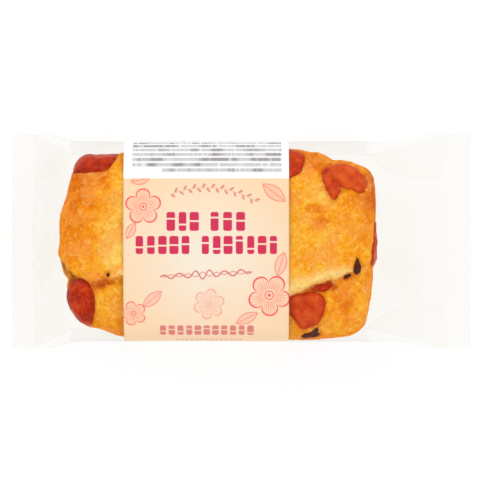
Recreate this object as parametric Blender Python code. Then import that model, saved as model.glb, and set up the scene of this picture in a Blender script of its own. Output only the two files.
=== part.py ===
"""A small fruit and cherry loaf cake, sealed in a clear flow-wrap pack with a printed label round its middle.

The pack lies on its base with the top of the loaf up. X runs along the loaf, Y across it, and Z up from the
surface that it rests on. The origin is under the centre of the pack. The clear pack is one solid with the
loaf's form cut out of it, the loaf lies in there, and the label is a thin band round them. All lengths are in
metres.
"""

import math
from collections import namedtuple

import bmesh
import bpy

# The pack as a whole
PACK_LENGTH = 0.2360
PACK_WIDTH = 0.1016  # at its shoulders, where it holds the loaf
BASE_WIDTH = 0.0905  # between its bottom edges, since the loaf narrows downwards
CROWN_HEIGHT = 0.0552  # top of the film over the middle of the loaf
CROWN_FALL = 0.0050  # how much lower the film lies over the loaf's ends
SHOULDER_HEIGHT = 0.0350  # where the pack is widest
BASE_CORNER = 0.0060  # radius of the long bottom edges
CROWN_POWER = 2.7  # roundness of the crown's section: 2 is an ellipse, more is squarer

# The end seals, where the film's walls are crimped into one flat strip
SEAL_WIDTH = 0.1100
SEAL_DEPTH = 0.0110
SEAL_HEIGHT = 0.0205
SEAL_THICKNESS = 0.0012
SEAL_DROOP = 0.0016  # how far the cut edge hangs below the strip's inner edge
SEAL_WAVE = 0.0011  # how far the strip waves up and down across its width
SEAL_WAVE_LENGTH = 0.074
TUCK_DEPTH = 0.0220  # how deep each side wall is folded in between the top and bottom walls
TUCK_EASE = 0.75  # how gently the fold opens: 0.5 is a sharp hinge at the loaf's end
TUCK_SHUTS_AT = 0.90  # how far along the end wall the fold begins to shut against the seal

# The loaf inside, which the film follows
LOAF_MIDDLE_X = -0.0117  # the loaf has slid towards one end of its pack
LOAF_MIDDLE_Y = -0.0013
LOAF_LENGTH = 0.1610
LOAF_WIDTH = 0.0976
LOAF_HEIGHT = 0.0522
LOAF_SHOULDER = 0.0320  # where it is widest
LOAF_FOOT = 0.925  # width of its base as a share of its widest
FOOT_CORNER = 0.05  # radius of its bottom edge, as a share of half its width
OUTLINE_POWER = 5.0  # squareness of its outline from above
END_POWER = 4.0  # roundness of its top towards the ends
FLANK_POWER = 2.6  # and towards the long sides
WALL_BEND = 0.18  # share of each end wall that is rounded where it leaves the loaf
TOP_FROM = 0.026  # what is above this belongs more and more to the top crust
TOP_TO = 0.041

# Where the loaf's outline stands out or falls back: middle, reach, and how far out
Nudge = namedtuple("Nudge", "x y reach out")
OUTLINE_NUDGES = [
    Nudge(0.050, 0.042, 0.016, -0.0045),
    Nudge(0.065, -0.028, 0.010, -0.0030),
    Nudge(0.056, -0.045, 0.008, 0.0018),
    Nudge(0.067, -0.014, 0.006, -0.0022),
    Nudge(-0.087, 0.027, 0.012, -0.0042),
    Nudge(-0.086, -0.019, 0.006, -0.0046),
    Nudge(-0.072, -0.042, 0.014, -0.0055),
]

# The long split that opened in the crust as it baked, with the lower lobe beside it
SPLIT_LINE = [
    (-0.0930, -0.0110), (-0.0840, -0.0190), (-0.0720, -0.0215), (-0.0400, -0.0200), (0.0100, -0.0300),
    (0.0240, -0.0290), (0.0400, -0.0235), (0.0520, -0.0185), (0.0700, -0.0125),
]
SPLIT_DEPTH = 0.0026
SPLIT_WIDTH = 0.0036
LOBE_FALL = 0.0020  # how much lower the crust is on the -Y side of the split
LOBE_EDGE = 0.0040  # over how much of its width it drops

# Glace cherries in the crust, as low bumps
Cherry = namedtuple("Cherry", "x y half_length half_width turn")
CHERRIES = [
    Cherry(-0.0735, 0.0390, 0.0115, 0.0060, 0.08),
    Cherry(-0.0808, -0.0300, 0.0130, 0.0080, 1.82),
    Cherry(0.0246, 0.0393, 0.0084, 0.0082, 0.0),
    Cherry(0.0520, 0.0317, 0.0112, 0.0076, -0.38),
    Cherry(0.0332, -0.0346, 0.0098, 0.0104, 0.0),
]
CHERRY_RISE = 0.0016

# How the loaf lies in the film. A slit under the label, where the film's long edges meet, opens its hollow.
FILM_WALL = 0.0004  # thinnest the film is round the loaf
LOAF_GAP = 0.00035
SLIT_LENGTH = 0.0550
SLIT_WIDTH = 0.0012
SLIT_HEIGHT = 0.0140  # it reaches from below the pack into the hollow

# The label round the middle
LABEL_MIDDLE_X = -0.0177
LABEL_LENGTH = 0.0831
LABEL_THICKNESS = 0.0004
LABEL_GAP = 0.0003  # clearance between the label and the film under it
WAIST_SLOPE = 0.0010  # length over which the film rises from under the label
LOAF_MARGIN = LABEL_THICKNESS + LABEL_GAP + FILM_WALL + LOAF_GAP  # from the pack's outside to the loaf

# Finishes
FILM_COLOUR = (0.93, 0.91, 0.86)
FILM_ROUGHNESS = 0.15
FILM_ALPHA = 0.20
CRUST_COLOUR = (0.90, 0.40, 0.05)
CRUST_ROUGHNESS = 0.70
LABEL_COLOUR = (0.96, 0.72, 0.50)
LABEL_ROUGHNESS = 0.45

# Points round half of a section, and sections along each stretch
CROWN_STEPS = 14
SIDE_STEPS = 8
CORNER_STEPS = 4
FLOOR_STEPS = 4
LABEL_STATIONS = 8
WINDOW_STATIONS = 6
SLOPE_STATIONS = 11
SEAL_STATIONS = 2

# Points round the loaf, and rings over its top, its shoulder, its wall and its bottom edge
LOAF_STEPS = 72
TOP_RINGS = 9
SHOULDER_RINGS = 5
WALL_RINGS = 4
FOOT_RINGS = 3
FIRST_RING = 0.10  # the smallest ring, as a share of the loaf's outline
LAST_RING = 0.87  # where the top's rings give way to the shoulder's

SHARP_EDGE = math.radians(35)  # sharper edges than this are shaded as edges

# One end of the pack. The top, the base and the side walls leave the loaf at different places, and the
# walls then spread from the pack's width to the seal's width between two places. The wave's turn is the
# angle at which the seal's wave crosses the middle.
End = namedtuple("End", "cut_x seal_x top_x base_x side_x spread_from_x spread_to_x wave_turn")
LEFT = End(
    cut_x=-PACK_LENGTH / 2,
    seal_x=-PACK_LENGTH / 2 + SEAL_DEPTH,
    top_x=-0.0865,
    base_x=-0.0855,
    side_x=-0.0865,
    spread_from_x=-0.0820,
    spread_to_x=-0.1025,
    wave_turn=0.6,
)
RIGHT = End(
    cut_x=PACK_LENGTH / 2,
    seal_x=PACK_LENGTH / 2 - SEAL_DEPTH,
    top_x=0.0610,
    base_x=0.0620,
    side_x=0.0630,
    spread_from_x=0.0780,
    spread_to_x=0.1000,
    wave_turn=2.4,
)

# The sizes of one section across the pack
Section = namedtuple("Section", "half_width base_half top shoulder base corner tuck")


def share(value, start, stop):
    """How far value has gone from start to stop, from 0 to 1."""
    return min(1.0, max(0.0, (value - start) / (stop - start)))


def mixed(first, second, part):
    return first + (second - first) * part


def smooth(part):
    return part * part * (3 - 2 * part)


def rounded_ramp(part):
    """A straight ramp from 0 to 1 that first curves up from level."""
    height = part * part / (2 * WALL_BEND) if part < WALL_BEND else part - WALL_BEND / 2
    return height / (1 - WALL_BEND / 2)


def section_at(x):
    """The sizes of the pack's section at x."""
    end = LEFT if x < LOAF_MIDDLE_X else RIGHT
    crown = CROWN_HEIGHT - CROWN_FALL * ((x - LOAF_MIDDLE_X) / (LOAF_LENGTH / 2)) ** 2
    beyond = share(x, end.seal_x, end.cut_x)
    seal = SEAL_HEIGHT - SEAL_DROOP * smooth(beyond)
    top_part = rounded_ramp(share(x, end.top_x, end.seal_x))
    base_part = rounded_ramp(share(x, end.base_x, end.seal_x))
    spread = smooth(share(x, end.spread_from_x, end.spread_to_x))
    half_width = mixed(PACK_WIDTH, SEAL_WIDTH, spread) / 2
    base_half = min(half_width, mixed(BASE_WIDTH, SEAL_WIDTH, base_part) / 2)
    return Section(
        half_width=half_width,
        base_half=base_half,
        top=mixed(crown, seal + SEAL_THICKNESS / 2, top_part),
        shoulder=mixed(SHOULDER_HEIGHT, seal + SEAL_THICKNESS / 4, top_part),
        base=mixed(0.0, seal - SEAL_THICKNESS / 2, base_part),
        corner=mixed(BASE_CORNER, SEAL_THICKNESS / 4, base_part),
        tuck=tuck_at(share(x, end.side_x, end.seal_x)),
    )


def tuck_at(part):
    """How deep the side wall is folded in: the fold opens like a hinged panel and shuts against the seal."""
    opening = (1 - (1 - part) ** 2) ** TUCK_EASE
    shutting = 1 - smooth(share(part, TUCK_SHUTS_AT, 1.0))
    return TUCK_DEPTH * opening * shutting


def half_outline(size):
    """(y, z) points of a section's +Y half, from the middle of the crown down to the middle of the base."""
    points = []
    for i in range(CROWN_STEPS + 1):
        angle = math.pi / 2 * i / CROWN_STEPS
        y = size.half_width * math.sin(angle) ** (2 / CROWN_POWER)
        rise = max(0.0, math.cos(angle)) ** (2 / CROWN_POWER)
        points.append((y, mixed(size.shoulder, size.top, rise)))
    corner_top = size.base + size.corner
    for i in range(1, SIDE_STEPS + 1):
        part = i / SIDE_STEPS
        folded = size.tuck * (1 - abs(2 * part - 1))
        y = mixed(size.half_width, size.base_half, part) - folded
        points.append((y, mixed(size.shoulder, corner_top, part)))
    for i in range(1, CORNER_STEPS + 1):
        angle = math.pi / 2 * i / CORNER_STEPS
        y = size.base_half - size.corner * (1 - math.cos(angle))
        points.append((y, size.base + size.corner * (1 - math.sin(angle))))
    floor_half = size.base_half - size.corner
    for i in range(1, FLOOR_STEPS + 1):
        points.append((floor_half * (1 - i / FLOOR_STEPS), size.base))
    return points


def outline(size):
    """The closed section, from the middle of the crown round by +Y, the base and -Y."""
    half = half_outline(size)
    other = [(-y, z) for y, z in reversed(half[1:-1])]
    return half + other


def moved_in(points, distance):
    """The outline moved towards its inside by distance, along the normal at each point."""
    if distance == 0:
        return points
    moved = []
    for i, (y, z) in enumerate(points):
        before, after = points[i - 1], points[(i + 1) % len(points)]
        along_y, along_z = after[0] - before[0], after[1] - before[1]
        length = math.hypot(along_y, along_z)
        moved.append((y + along_z / length * distance, z - along_y / length * distance))
    return moved


def seal_wave(x, y):
    """How far the film's end walls lift at (x, y), which leaves the seal gently waved."""
    end = LEFT if x < LOAF_MIDDLE_X else RIGHT
    turn = 2 * math.pi * y / SEAL_WAVE_LENGTH + end.wave_turn
    return SEAL_WAVE * math.sin(turn) * smooth(share(x, end.base_x, end.seal_x))


def ring_at(x, inset=0.0):
    """One section's points in space."""
    points = moved_in(outline(section_at(x)), inset)
    return [(x, y, z + seal_wave(x, y)) for y, z in points]


def spaced(start, stop, count):
    """count steps from start to stop, with both ends."""
    return [mixed(start, stop, i / count) for i in range(count + 1)]


def bag_sections():
    """(x, inset) of each section of the bag, from its left cut edge to its right one."""
    label_left = LABEL_MIDDLE_X - LABEL_LENGTH / 2
    label_right = LABEL_MIDDLE_X + LABEL_LENGTH / 2
    waist = LABEL_THICKNESS + LABEL_GAP
    rises_left = label_left - LABEL_GAP - WAIST_SLOPE
    rises_right = label_right + LABEL_GAP + WAIST_SLOPE
    sections = [(x, 0.0) for x in spaced(LEFT.cut_x, LEFT.seal_x, SEAL_STATIONS)]
    sections += [(x, 0.0) for x in spaced(LEFT.seal_x, LEFT.top_x, SLOPE_STATIONS)[1:]]
    sections += [(x, 0.0) for x in spaced(LEFT.top_x, rises_left, WINDOW_STATIONS)[1:]]
    sections.append((label_left - LABEL_GAP, waist))
    sections += [(x, waist) for x in spaced(label_left, label_right, LABEL_STATIONS)[1:-1]]
    sections.append((label_right + LABEL_GAP, waist))
    sections += [(x, 0.0) for x in spaced(rises_right, RIGHT.top_x, WINDOW_STATIONS)]
    sections += [(x, 0.0) for x in spaced(RIGHT.top_x, RIGHT.seal_x, SLOPE_STATIONS)[1:]]
    sections += [(x, 0.0) for x in spaced(RIGHT.seal_x, RIGHT.cut_x, SEAL_STATIONS)[1:]]
    return sections


def skin(bm, rings, closed=False):
    """Faces between each ring of points and the next. Returns the rings' vertices."""
    made = [[bm.verts.new(point) for point in ring] for ring in rings]
    following = made[1:] + (made[:1] if closed else [])
    for ring, after in zip(made, following):
        for i in range(len(ring)):
            j = (i + 1) % len(ring)
            bm.faces.new((ring[i], ring[j], after[j], after[i]))
    return made


def finished(name, bm, material):
    """Makes the node from bm, its faces pointing out and shaded smooth but for sharp edges."""
    bmesh.ops.recalc_face_normals(bm, faces=bm.faces)
    mesh = bpy.data.meshes.new(name)
    bm.to_mesh(mesh)
    bm.free()
    mesh.materials.append(material)
    mesh.shade_smooth()
    mesh.set_sharp_from_angle(angle=SHARP_EDGE)
    bpy.context.scene.collection.objects.link(bpy.data.objects.new(name, mesh))


def outline_radius(angle):
    """How far the loaf's outline is from its middle, in this direction."""
    across_x, across_y = math.cos(angle), math.sin(angle)
    share_x = abs(across_x) / (LOAF_LENGTH / 2)
    share_y = abs(across_y) / (LOAF_WIDTH / 2)
    radius = (share_x ** OUTLINE_POWER + share_y ** OUTLINE_POWER) ** (-1 / OUTLINE_POWER)
    x, y = LOAF_MIDDLE_X + across_x * radius, LOAF_MIDDLE_Y + across_y * radius
    for nudge in OUTLINE_NUDGES:
        away = math.hypot(x - nudge.x, y - nudge.y) / nudge.reach
        radius += nudge.out * math.exp(-away * away)
    return radius


def loaf_profile(power):
    """(share of the outline, height) of each ring, from the crown down to the base."""
    rise = LOAF_HEIGHT - LOAF_SHOULDER
    rings = []
    for out in spaced(FIRST_RING, LAST_RING, TOP_RINGS - 1):
        rings.append((out, LOAF_SHOULDER + rise * (1 - out ** power) ** (1 / power)))
    first = math.asin(LAST_RING ** (power / 2))
    for angle in spaced(first, math.pi / 2, SHOULDER_RINGS)[1:]:
        height = LOAF_SHOULDER + rise * max(0.0, math.cos(angle)) ** (2 / power)
        rings.append((math.sin(angle) ** (2 / power), height))
    foot_top = LOAF_MARGIN + FOOT_CORNER * LOAF_WIDTH / 2
    for part in spaced(0.0, 1.0, WALL_RINGS)[1:]:
        rings.append((mixed(1.0, LOAF_FOOT, part), mixed(LOAF_SHOULDER, foot_top, part)))
    for angle in spaced(0.0, math.pi / 2, FOOT_RINGS)[1:]:
        out = LOAF_FOOT - FOOT_CORNER * (1 - math.cos(angle))
        rings.append((out, mixed(foot_top, LOAF_MARGIN, math.sin(angle))))
    return rings


def split_y(x):
    """Where the split lies at x."""
    for (x0, y0), (x1, y1) in zip(SPLIT_LINE, SPLIT_LINE[1:]):
        if x < x1:
            return mixed(y0, y1, share(x, x0, x1))
    return SPLIT_LINE[-1][1]


def crust_lift(x, y, z):
    """How far the split, the lower lobe and the cherries lift or lower the crust."""
    beside = y - split_y(x)
    lift = -SPLIT_DEPTH * math.exp(-(beside / SPLIT_WIDTH) ** 2)
    lift -= LOBE_FALL * (1 - smooth(share(beside, -LOBE_EDGE, 0.0)))
    for cherry in CHERRIES:
        away_x, away_y = x - cherry.x, y - cherry.y
        along = away_x * math.cos(cherry.turn) + away_y * math.sin(cherry.turn)
        across = away_y * math.cos(cherry.turn) - away_x * math.sin(cherry.turn)
        away = (along / cherry.half_length) ** 2 + (across / cherry.half_width) ** 2
        lift += CHERRY_RISE / (1 + away * away)
    return lift * smooth(share(z, TOP_FROM, TOP_TO))


def fitted(x, y, z):
    """The point, pressed back where it would come nearer to the pack's outside than the loaf's margin."""
    size = section_at(x)
    side, y = math.copysign(1.0, y), abs(y)
    floor_half, corner_top = size.base_half - size.corner, size.base + size.corner
    if z > size.shoulder:
        up = (z - size.shoulder) / (size.top - LOAF_MARGIN - size.shoulder)
        over = ((y / (size.half_width - LOAF_MARGIN)) ** CROWN_POWER + up ** CROWN_POWER) ** (1 / CROWN_POWER)
        y, z = y / max(over, 1.0), mixed(size.shoulder, z, 1 / max(over, 1.0))
    elif z > corner_top:
        part = share(z, size.shoulder, corner_top)
        folded = size.tuck * (1 - abs(2 * part - 1))
        y = min(y, mixed(size.half_width, size.base_half, part) - folded - LOAF_MARGIN)
    elif y > floor_half:
        reach = math.hypot(y - floor_half, z - corner_top)
        shrink = min(1.0, (size.corner - LOAF_MARGIN) / reach)
        y, z = mixed(floor_half, y, shrink), mixed(corner_top, z, shrink)
    return x, side * y, max(z, size.base + LOAF_MARGIN)


def loaf_skin(grown):
    """The loaf's closed skin, or with grown above 0 one that much larger all over."""
    bm = bmesh.new()
    rings = [[] for _ in loaf_profile(END_POWER)]
    for i in range(LOAF_STEPS):
        turn = 2 * math.pi * i / LOAF_STEPS
        angle = math.atan2(LOAF_WIDTH * math.sin(turn), LOAF_LENGTH * math.cos(turn))
        power = mixed(END_POWER, FLANK_POWER, math.sin(turn) ** 2)
        radius = outline_radius(angle)
        for ring, (out, z) in zip(rings, loaf_profile(power)):
            x = LOAF_MIDDLE_X + math.cos(angle) * radius * out
            y = LOAF_MIDDLE_Y + math.sin(angle) * radius * out
            ring.append(fitted(x, y, z + crust_lift(x, y, z)))
    made = skin(bm, rings)
    bm.faces.new(made[-1])
    crown_z = LOAF_HEIGHT + crust_lift(LOAF_MIDDLE_X, LOAF_MIDDLE_Y, LOAF_HEIGHT)
    crown = bm.verts.new((LOAF_MIDDLE_X, LOAF_MIDDLE_Y, crown_z))
    for first, second in zip(made[0], made[0][1:] + made[0][:1]):
        bm.faces.new((first, second, crown))
    bmesh.ops.recalc_face_normals(bm, faces=bm.faces)
    bmesh.ops.triangulate(bm, faces=bm.faces, quad_method="FIXED")  # so the loaf and its hollow bend alike
    if grown > 0:
        bm.normal_update()
        for vertex, normal in [(v, v.normal.copy()) for v in bm.verts]:
            vertex.co += normal * grown
    return bm


def make_loaf(material):
    finished("loaf", loaf_skin(0.0), material)


def add_cutter(collection, name, bm):
    """Adds a mesh to what is cut out of the pack."""
    bmesh.ops.recalc_face_normals(bm, faces=bm.faces)
    mesh = bpy.data.meshes.new(name)
    bm.to_mesh(mesh)
    bm.free()
    collection.objects.link(bpy.data.objects.new(name, mesh))


def hollow_out(name):
    """Cuts the loaf's hollow out of the named solid, with the slit under the label."""
    cutters = bpy.data.collections.new("cutters")
    bpy.context.scene.collection.children.link(cutters)
    add_cutter(cutters, "hollow", loaf_skin(LOAF_GAP))
    slit = bmesh.new()
    bmesh.ops.create_cube(slit, size=1.0)
    bmesh.ops.scale(slit, vec=(SLIT_LENGTH, SLIT_WIDTH, SLIT_HEIGHT), verts=slit.verts)
    bmesh.ops.translate(slit, vec=(LABEL_MIDDLE_X, 0.0, 0.0), verts=slit.verts)
    add_cutter(cutters, "slit", slit)
    solid = bpy.data.objects[name]
    cut = solid.modifiers.new("cut", "BOOLEAN")
    cut.operation = "DIFFERENCE"
    cut.operand_type = "COLLECTION"
    cut.collection = cutters
    cut.solver = "EXACT"
    evaluated = solid.evaluated_get(bpy.context.evaluated_depsgraph_get())
    mesh = bpy.data.meshes.new_from_object(evaluated)
    solid.modifiers.clear()
    solid.data = mesh
    for cutter in list(cutters.objects):
        bpy.data.objects.remove(cutter, do_unlink=True)
    bpy.data.collections.remove(cutters)


def make_bag(material):
    """The sealed bag: one closed skin from cut edge to cut edge, with the loaf's form cut out of it."""
    bm = bmesh.new()
    rings = skin(bm, [ring_at(x, inset) for x, inset in bag_sections()])
    bm.faces.new(rings[0])
    bm.faces.new(rings[-1])
    finished("film_pack", bm, material)
    hollow_out("film_pack")


def make_label(material):
    """The label: an outer skin and an inner one, joined round both edges into one thin closed band."""
    left = LABEL_MIDDLE_X - LABEL_LENGTH / 2
    stations = spaced(left, left + LABEL_LENGTH, LABEL_STATIONS)
    outer = [ring_at(x) for x in stations]
    inner = [ring_at(x, LABEL_THICKNESS) for x in reversed(stations)]
    bm = bmesh.new()
    skin(bm, outer + inner, closed=True)
    finished("label_band", bm, material)


def finish_of(name, colour, roughness, alpha=1.0):
    material = bpy.data.materials.new(name)
    material.use_nodes = True
    shader = material.node_tree.nodes["Principled BSDF"]
    shader.inputs["Base Color"].default_value = (*colour, 1.0)
    shader.inputs["Roughness"].default_value = roughness
    shader.inputs["Metallic"].default_value = 0.0
    shader.inputs["Alpha"].default_value = alpha
    return material


def clear_scene():
    for obj in list(bpy.data.objects):
        bpy.data.objects.remove(obj, do_unlink=True)


def main():
    clear_scene()
    make_bag(finish_of("clear_film", FILM_COLOUR, FILM_ROUGHNESS, FILM_ALPHA))
    make_loaf(finish_of("crust", CRUST_COLOUR, CRUST_ROUGHNESS))
    make_label(finish_of("printed_label", LABEL_COLOUR, LABEL_ROUGHNESS))


main()
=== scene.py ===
import math

import bpy
import bmesh
import numpy as np
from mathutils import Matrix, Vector, noise
from mathutils.bvhtree import BVHTree


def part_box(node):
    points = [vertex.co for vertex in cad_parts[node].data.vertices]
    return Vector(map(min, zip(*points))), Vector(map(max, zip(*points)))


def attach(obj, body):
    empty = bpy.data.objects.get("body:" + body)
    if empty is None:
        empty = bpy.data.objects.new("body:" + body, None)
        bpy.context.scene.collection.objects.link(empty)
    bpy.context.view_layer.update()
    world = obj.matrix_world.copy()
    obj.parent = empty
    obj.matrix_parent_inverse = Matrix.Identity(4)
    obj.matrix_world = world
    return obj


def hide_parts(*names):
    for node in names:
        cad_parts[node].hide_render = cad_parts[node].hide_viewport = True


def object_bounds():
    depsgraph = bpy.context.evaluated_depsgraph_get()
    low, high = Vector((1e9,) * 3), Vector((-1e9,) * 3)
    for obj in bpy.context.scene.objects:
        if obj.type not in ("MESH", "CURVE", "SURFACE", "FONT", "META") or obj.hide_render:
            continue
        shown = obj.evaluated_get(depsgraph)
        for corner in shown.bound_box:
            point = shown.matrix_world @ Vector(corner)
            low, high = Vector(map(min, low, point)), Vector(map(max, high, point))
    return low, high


# A fruit and cherry loaf cake in a clear flow-wrap pack with a printed label round it, seen from above.
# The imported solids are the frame. The film, the label and all that lies in the film are made here.

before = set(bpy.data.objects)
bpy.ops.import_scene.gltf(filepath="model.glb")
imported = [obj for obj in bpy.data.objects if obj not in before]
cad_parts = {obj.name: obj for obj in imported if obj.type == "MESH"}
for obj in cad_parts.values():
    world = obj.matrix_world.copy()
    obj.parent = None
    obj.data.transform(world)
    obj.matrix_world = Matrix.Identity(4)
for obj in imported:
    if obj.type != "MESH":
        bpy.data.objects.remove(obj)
cadLow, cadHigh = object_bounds()
labelLow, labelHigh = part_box("label_band")
print("frame loaded")


# Small tools

def share(value, start, stop):
    return np.clip((value - start) / (stop - start), 0.0, 1.0)


def mixed(first, second, part):
    return first + (second - first) * part


def smooth(part):
    return part * part * (3 - 2 * part)


noiseKind = {
    "seedSteps": (7.31, 3.17, 5.71),  # how far the noise moves for each whole seed
    "weakening": 0.9,  # of each finer octave
    "finer": 2.1,  # each octave than the one before
}


def noiseAt(points, wavelength, seed=0.0, octaves=1):
    # smooth noise from about -1 to 1 at each point, different for each seed
    offset = Vector([seed * step for step in noiseKind["seedSteps"]])
    kind = noiseKind["weakening"], noiseKind["finer"], octaves
    return np.array([
        noise.fractal(Vector(p) / wavelength + offset, *kind) for p in points.reshape(-1, 3)
    ]).reshape(points.shape[:-1])


def meshFrom(name, points, faces, finish=None):
    mesh = bpy.data.meshes.new(name)
    mesh.from_pydata(points.reshape(-1, 3).tolist(), [], faces)
    piece = bpy.data.objects.new(name, mesh)
    bpy.context.scene.collection.objects.link(piece)
    bm = bmesh.new()
    bm.from_mesh(mesh)
    bmesh.ops.recalc_face_normals(bm, faces=bm.faces)
    bm.to_mesh(mesh)
    bm.free()
    mesh.shade_smooth()
    if finish:
        mesh.materials.append(finish)
    return piece


def gridFaces(rows, columns, joinEnds=False):
    # quads between the points of a grid whose rows are closed rings
    here = np.arange(rows * columns).reshape(rows, columns)
    beside = np.roll(here, -1, axis=1)
    if joinEnds:
        nextHere, nextBeside = np.roll(here, -1, axis=0), np.roll(beside, -1, axis=0)
    else:
        here, nextHere, beside, nextBeside = here[:-1], here[1:], beside[:-1], beside[1:]
    return np.stack([here, beside, nextBeside, nextHere], axis=-1).reshape(-1, 4).tolist()


def closedFaces(rows, columns):
    # the same with a flat face over the first ring and the last
    last = (rows - 1) * columns
    return gridFaces(rows, columns) + [list(range(columns)), list(range(last, last + columns))]


def store(piece, name, values):
    # a number on each point, which a finish reads by its name
    layer = piece.data.attributes.new(name, "FLOAT", "POINT")
    layer.data.foreach_set("value", np.asarray(values, np.float32).ravel())


def pointsOf(piece):
    flat = np.empty(len(piece.data.vertices) * 3)
    piece.data.vertices.foreach_get("co", flat)
    return flat.reshape(-1, 3)


def normalsOf(piece):
    flat = np.empty(len(piece.data.vertices) * 3)
    piece.data.vertex_normals.foreach_get("vector", flat)
    return flat.reshape(-1, 3)


def movePoints(piece, points):
    piece.data.vertices.foreach_set("co", points.ravel())
    piece.data.update()


# Shader maths: a wrapped socket adds Math nodes as it is used in sums

def connect(slot, value):
    if isinstance(value, Wire):
        slot.id_data.links.new(value.socket, slot)
    else:
        slot.default_value = value


class Wire:
    def __init__(self, socket):
        self.socket = socket

    def sum(self, operation, *values):
        node = self.socket.id_data.nodes.new("ShaderNodeMath")
        node.operation = operation
        for slot, value in zip(node.inputs, values):
            connect(slot, value)
        return Wire(node.outputs[0])

    def __add__(self, other):
        return self.sum("ADD", self, other)

    def __radd__(self, other):
        return self.sum("ADD", other, self)

    def __sub__(self, other):
        return self.sum("SUBTRACT", self, other)

    def __rsub__(self, other):
        return self.sum("SUBTRACT", other, self)

    def __mul__(self, other):
        return self.sum("MULTIPLY", self, other)

    def __rmul__(self, other):
        return self.sum("MULTIPLY", other, self)

    def __truediv__(self, other):
        return self.sum("DIVIDE", self, other)

    def __pow__(self, other):
        return self.sum("POWER", self, other)

    def __abs__(self):
        return self.sum("ABSOLUTE", self)

    def most(self, other):
        return self.sum("MAXIMUM", self, other)

    def least(self, other):
        return self.sum("MINIMUM", self, other)

    def angleFrom(self, other):
        return self.sum("ARCTAN2", self, other)

    def sine(self):
        return self.sum("SINE", self)

    def floor(self):
        return self.sum("FLOOR", self)

    def under(self, limit, soft):
        # 1 where this is below the limit, 0 above it, with a soft edge
        return ((limit - self) / soft + 0.5).most(0.0).least(1.0)


class Finish:
    def __init__(self, name):
        self.material = bpy.data.materials.new(name)
        self.material.use_nodes = True
        self.tree = self.material.node_tree
        self.tree.nodes.clear()

    def node(self, kind, settings=None, sockets=None, out=0):
        made = self.tree.nodes.new(kind)
        for key, value in (settings or {}).items():
            if key == "stops":
                self.setStops(made.color_ramp, value)
            else:
                setattr(made, key, value)
        for key, value in (sockets or {}).items():
            connect(self.find(made.inputs, key), value)
        return Wire(self.find(made.outputs, out))

    def find(self, slots, key):
        # a socket by its number, its identifier or its name
        if isinstance(key, int):
            return slots[key]
        return next(slot for slot in slots if key in (slot.identifier, slot.name))

    def setStops(self, ramp, stops):
        while len(ramp.elements) > 1:
            ramp.elements.remove(ramp.elements[0])
        for i, (place, colour) in enumerate(stops):
            element = ramp.elements[0] if i == 0 else ramp.elements.new(place)
            element.position = place
            element.color = (*colour, 1.0)

    def mix(self, part, first, second):
        return self.node(
            "ShaderNodeMix",
            {"data_type": "RGBA"},
            {"Factor_Float": part, "A_Color": asColour(first), "B_Color": asColour(second)},
            out="Result_Color",
        )

    def noise(self, where, size, detail=2.0, roughness=0.5, seed=0.0):
        # noise from 0 to 1, with features of about the given size in metres
        shift = (seed, seed, seed)
        shifted = self.node("ShaderNodeVectorMath", {"operation": "ADD"}, {0: where, 1: shift})
        return self.node(
            "ShaderNodeTexNoise",
            {},
            {"Vector": shifted, "Scale": 1 / size, "Detail": detail, "Roughness": roughness},
        )

    def chance(self, number):
        # an even random value from 0 to 1 for each whole number
        return self.node("ShaderNodeTexWhiteNoise", {"noise_dimensions": "1D"}, {"W": number})

    def value(self, name):
        return self.node("ShaderNodeAttribute", {"attribute_name": name}, out="Fac")

    def place(self):
        return self.node("ShaderNodeTexCoord", out="Object")

    def bump(self, height, strength, distance):
        sockets = {"Strength": strength, "Distance": distance, "Height": height}
        return self.node("ShaderNodeBump", {}, sockets, out="Normal")

    def blend(self, part, first, second):
        return self.node("ShaderNodeMixShader", {}, {"Fac": part, 1: first, 2: second})

    def show(self, surface):
        end = self.tree.nodes.new("ShaderNodeOutputMaterial")
        connect(end.inputs["Surface"], surface)
        return self.material

    def paint(self, sockets):
        return self.show(self.node("ShaderNodeBsdfPrincipled", {}, sockets))


def asColour(value):
    return value if isinstance(value, Wire) else (*value, 1.0)


def tone(red, green, blue):
    # a colour given as 0 to 255 on a screen, as the strengths of its light
    return tuple(
        ((level / 255 + 0.055) / 1.055) ** 2.4 if level > 10 else level / 3294.6
        for level in (red, green, blue)
    )


# The pack's skin, with the same sizes as its solid

pack = {
    "halfLength": cadHigh.x,
    "width": labelHigh.y - labelLow.y,  # at its shoulders
    "baseWidth": 0.0905,
    "crown": cadHigh.z,
    "crownFall": 0.0050,  # how much lower the film lies over the loaf's ends
    "crownPower": 2.7,
    "shoulder": 0.0350,
    "corner": 0.0060,  # radius of the long bottom edges
    "sealWidth": cadHigh.y - cadLow.y,
    "sealDepth": 0.0110,
    "sealHeight": 0.0205,
    "sealGap": 0.0003,  # between the two walls in the seal
    "sealDroop": 0.0016,  # how much lower the cut end hangs
    "sealWave": 0.0011,
    "sealWaveLength": 0.074,
    "tuck": 0.0220,  # how deep the side walls fold in at the seals
    "tuckEase": 0.75,
    "tuckShutsAt": 0.90,  # share of the way to the seal
    "wallBend": 0.18,  # share of the way over which the walls start to slope
    "loafMiddle": -0.0117,
    "loafLength": 0.1610,
}

# where each end's walls leave the loaf, and where they spread to the seal's width
ends = {
    "left": {
        "cut": -pack["halfLength"], "seal": pack["sealDepth"] - pack["halfLength"], "top": -0.0865,
        "base": -0.0855, "side": -0.0865, "spreadFrom": -0.0820, "spreadTo": -0.1025, "waveTurn": 0.6,
    },
    "right": {
        "cut": pack["halfLength"], "seal": pack["halfLength"] - pack["sealDepth"], "top": 0.0610,
        "base": 0.0620, "side": 0.0630, "spreadFrom": 0.0780, "spreadTo": 0.1000, "waveTurn": 2.4,
    },
}


def ramp(part):
    bend = pack["wallBend"]
    return np.where(part < bend, part * part / (2 * bend), part - bend / 2) / (1 - bend / 2)


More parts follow.
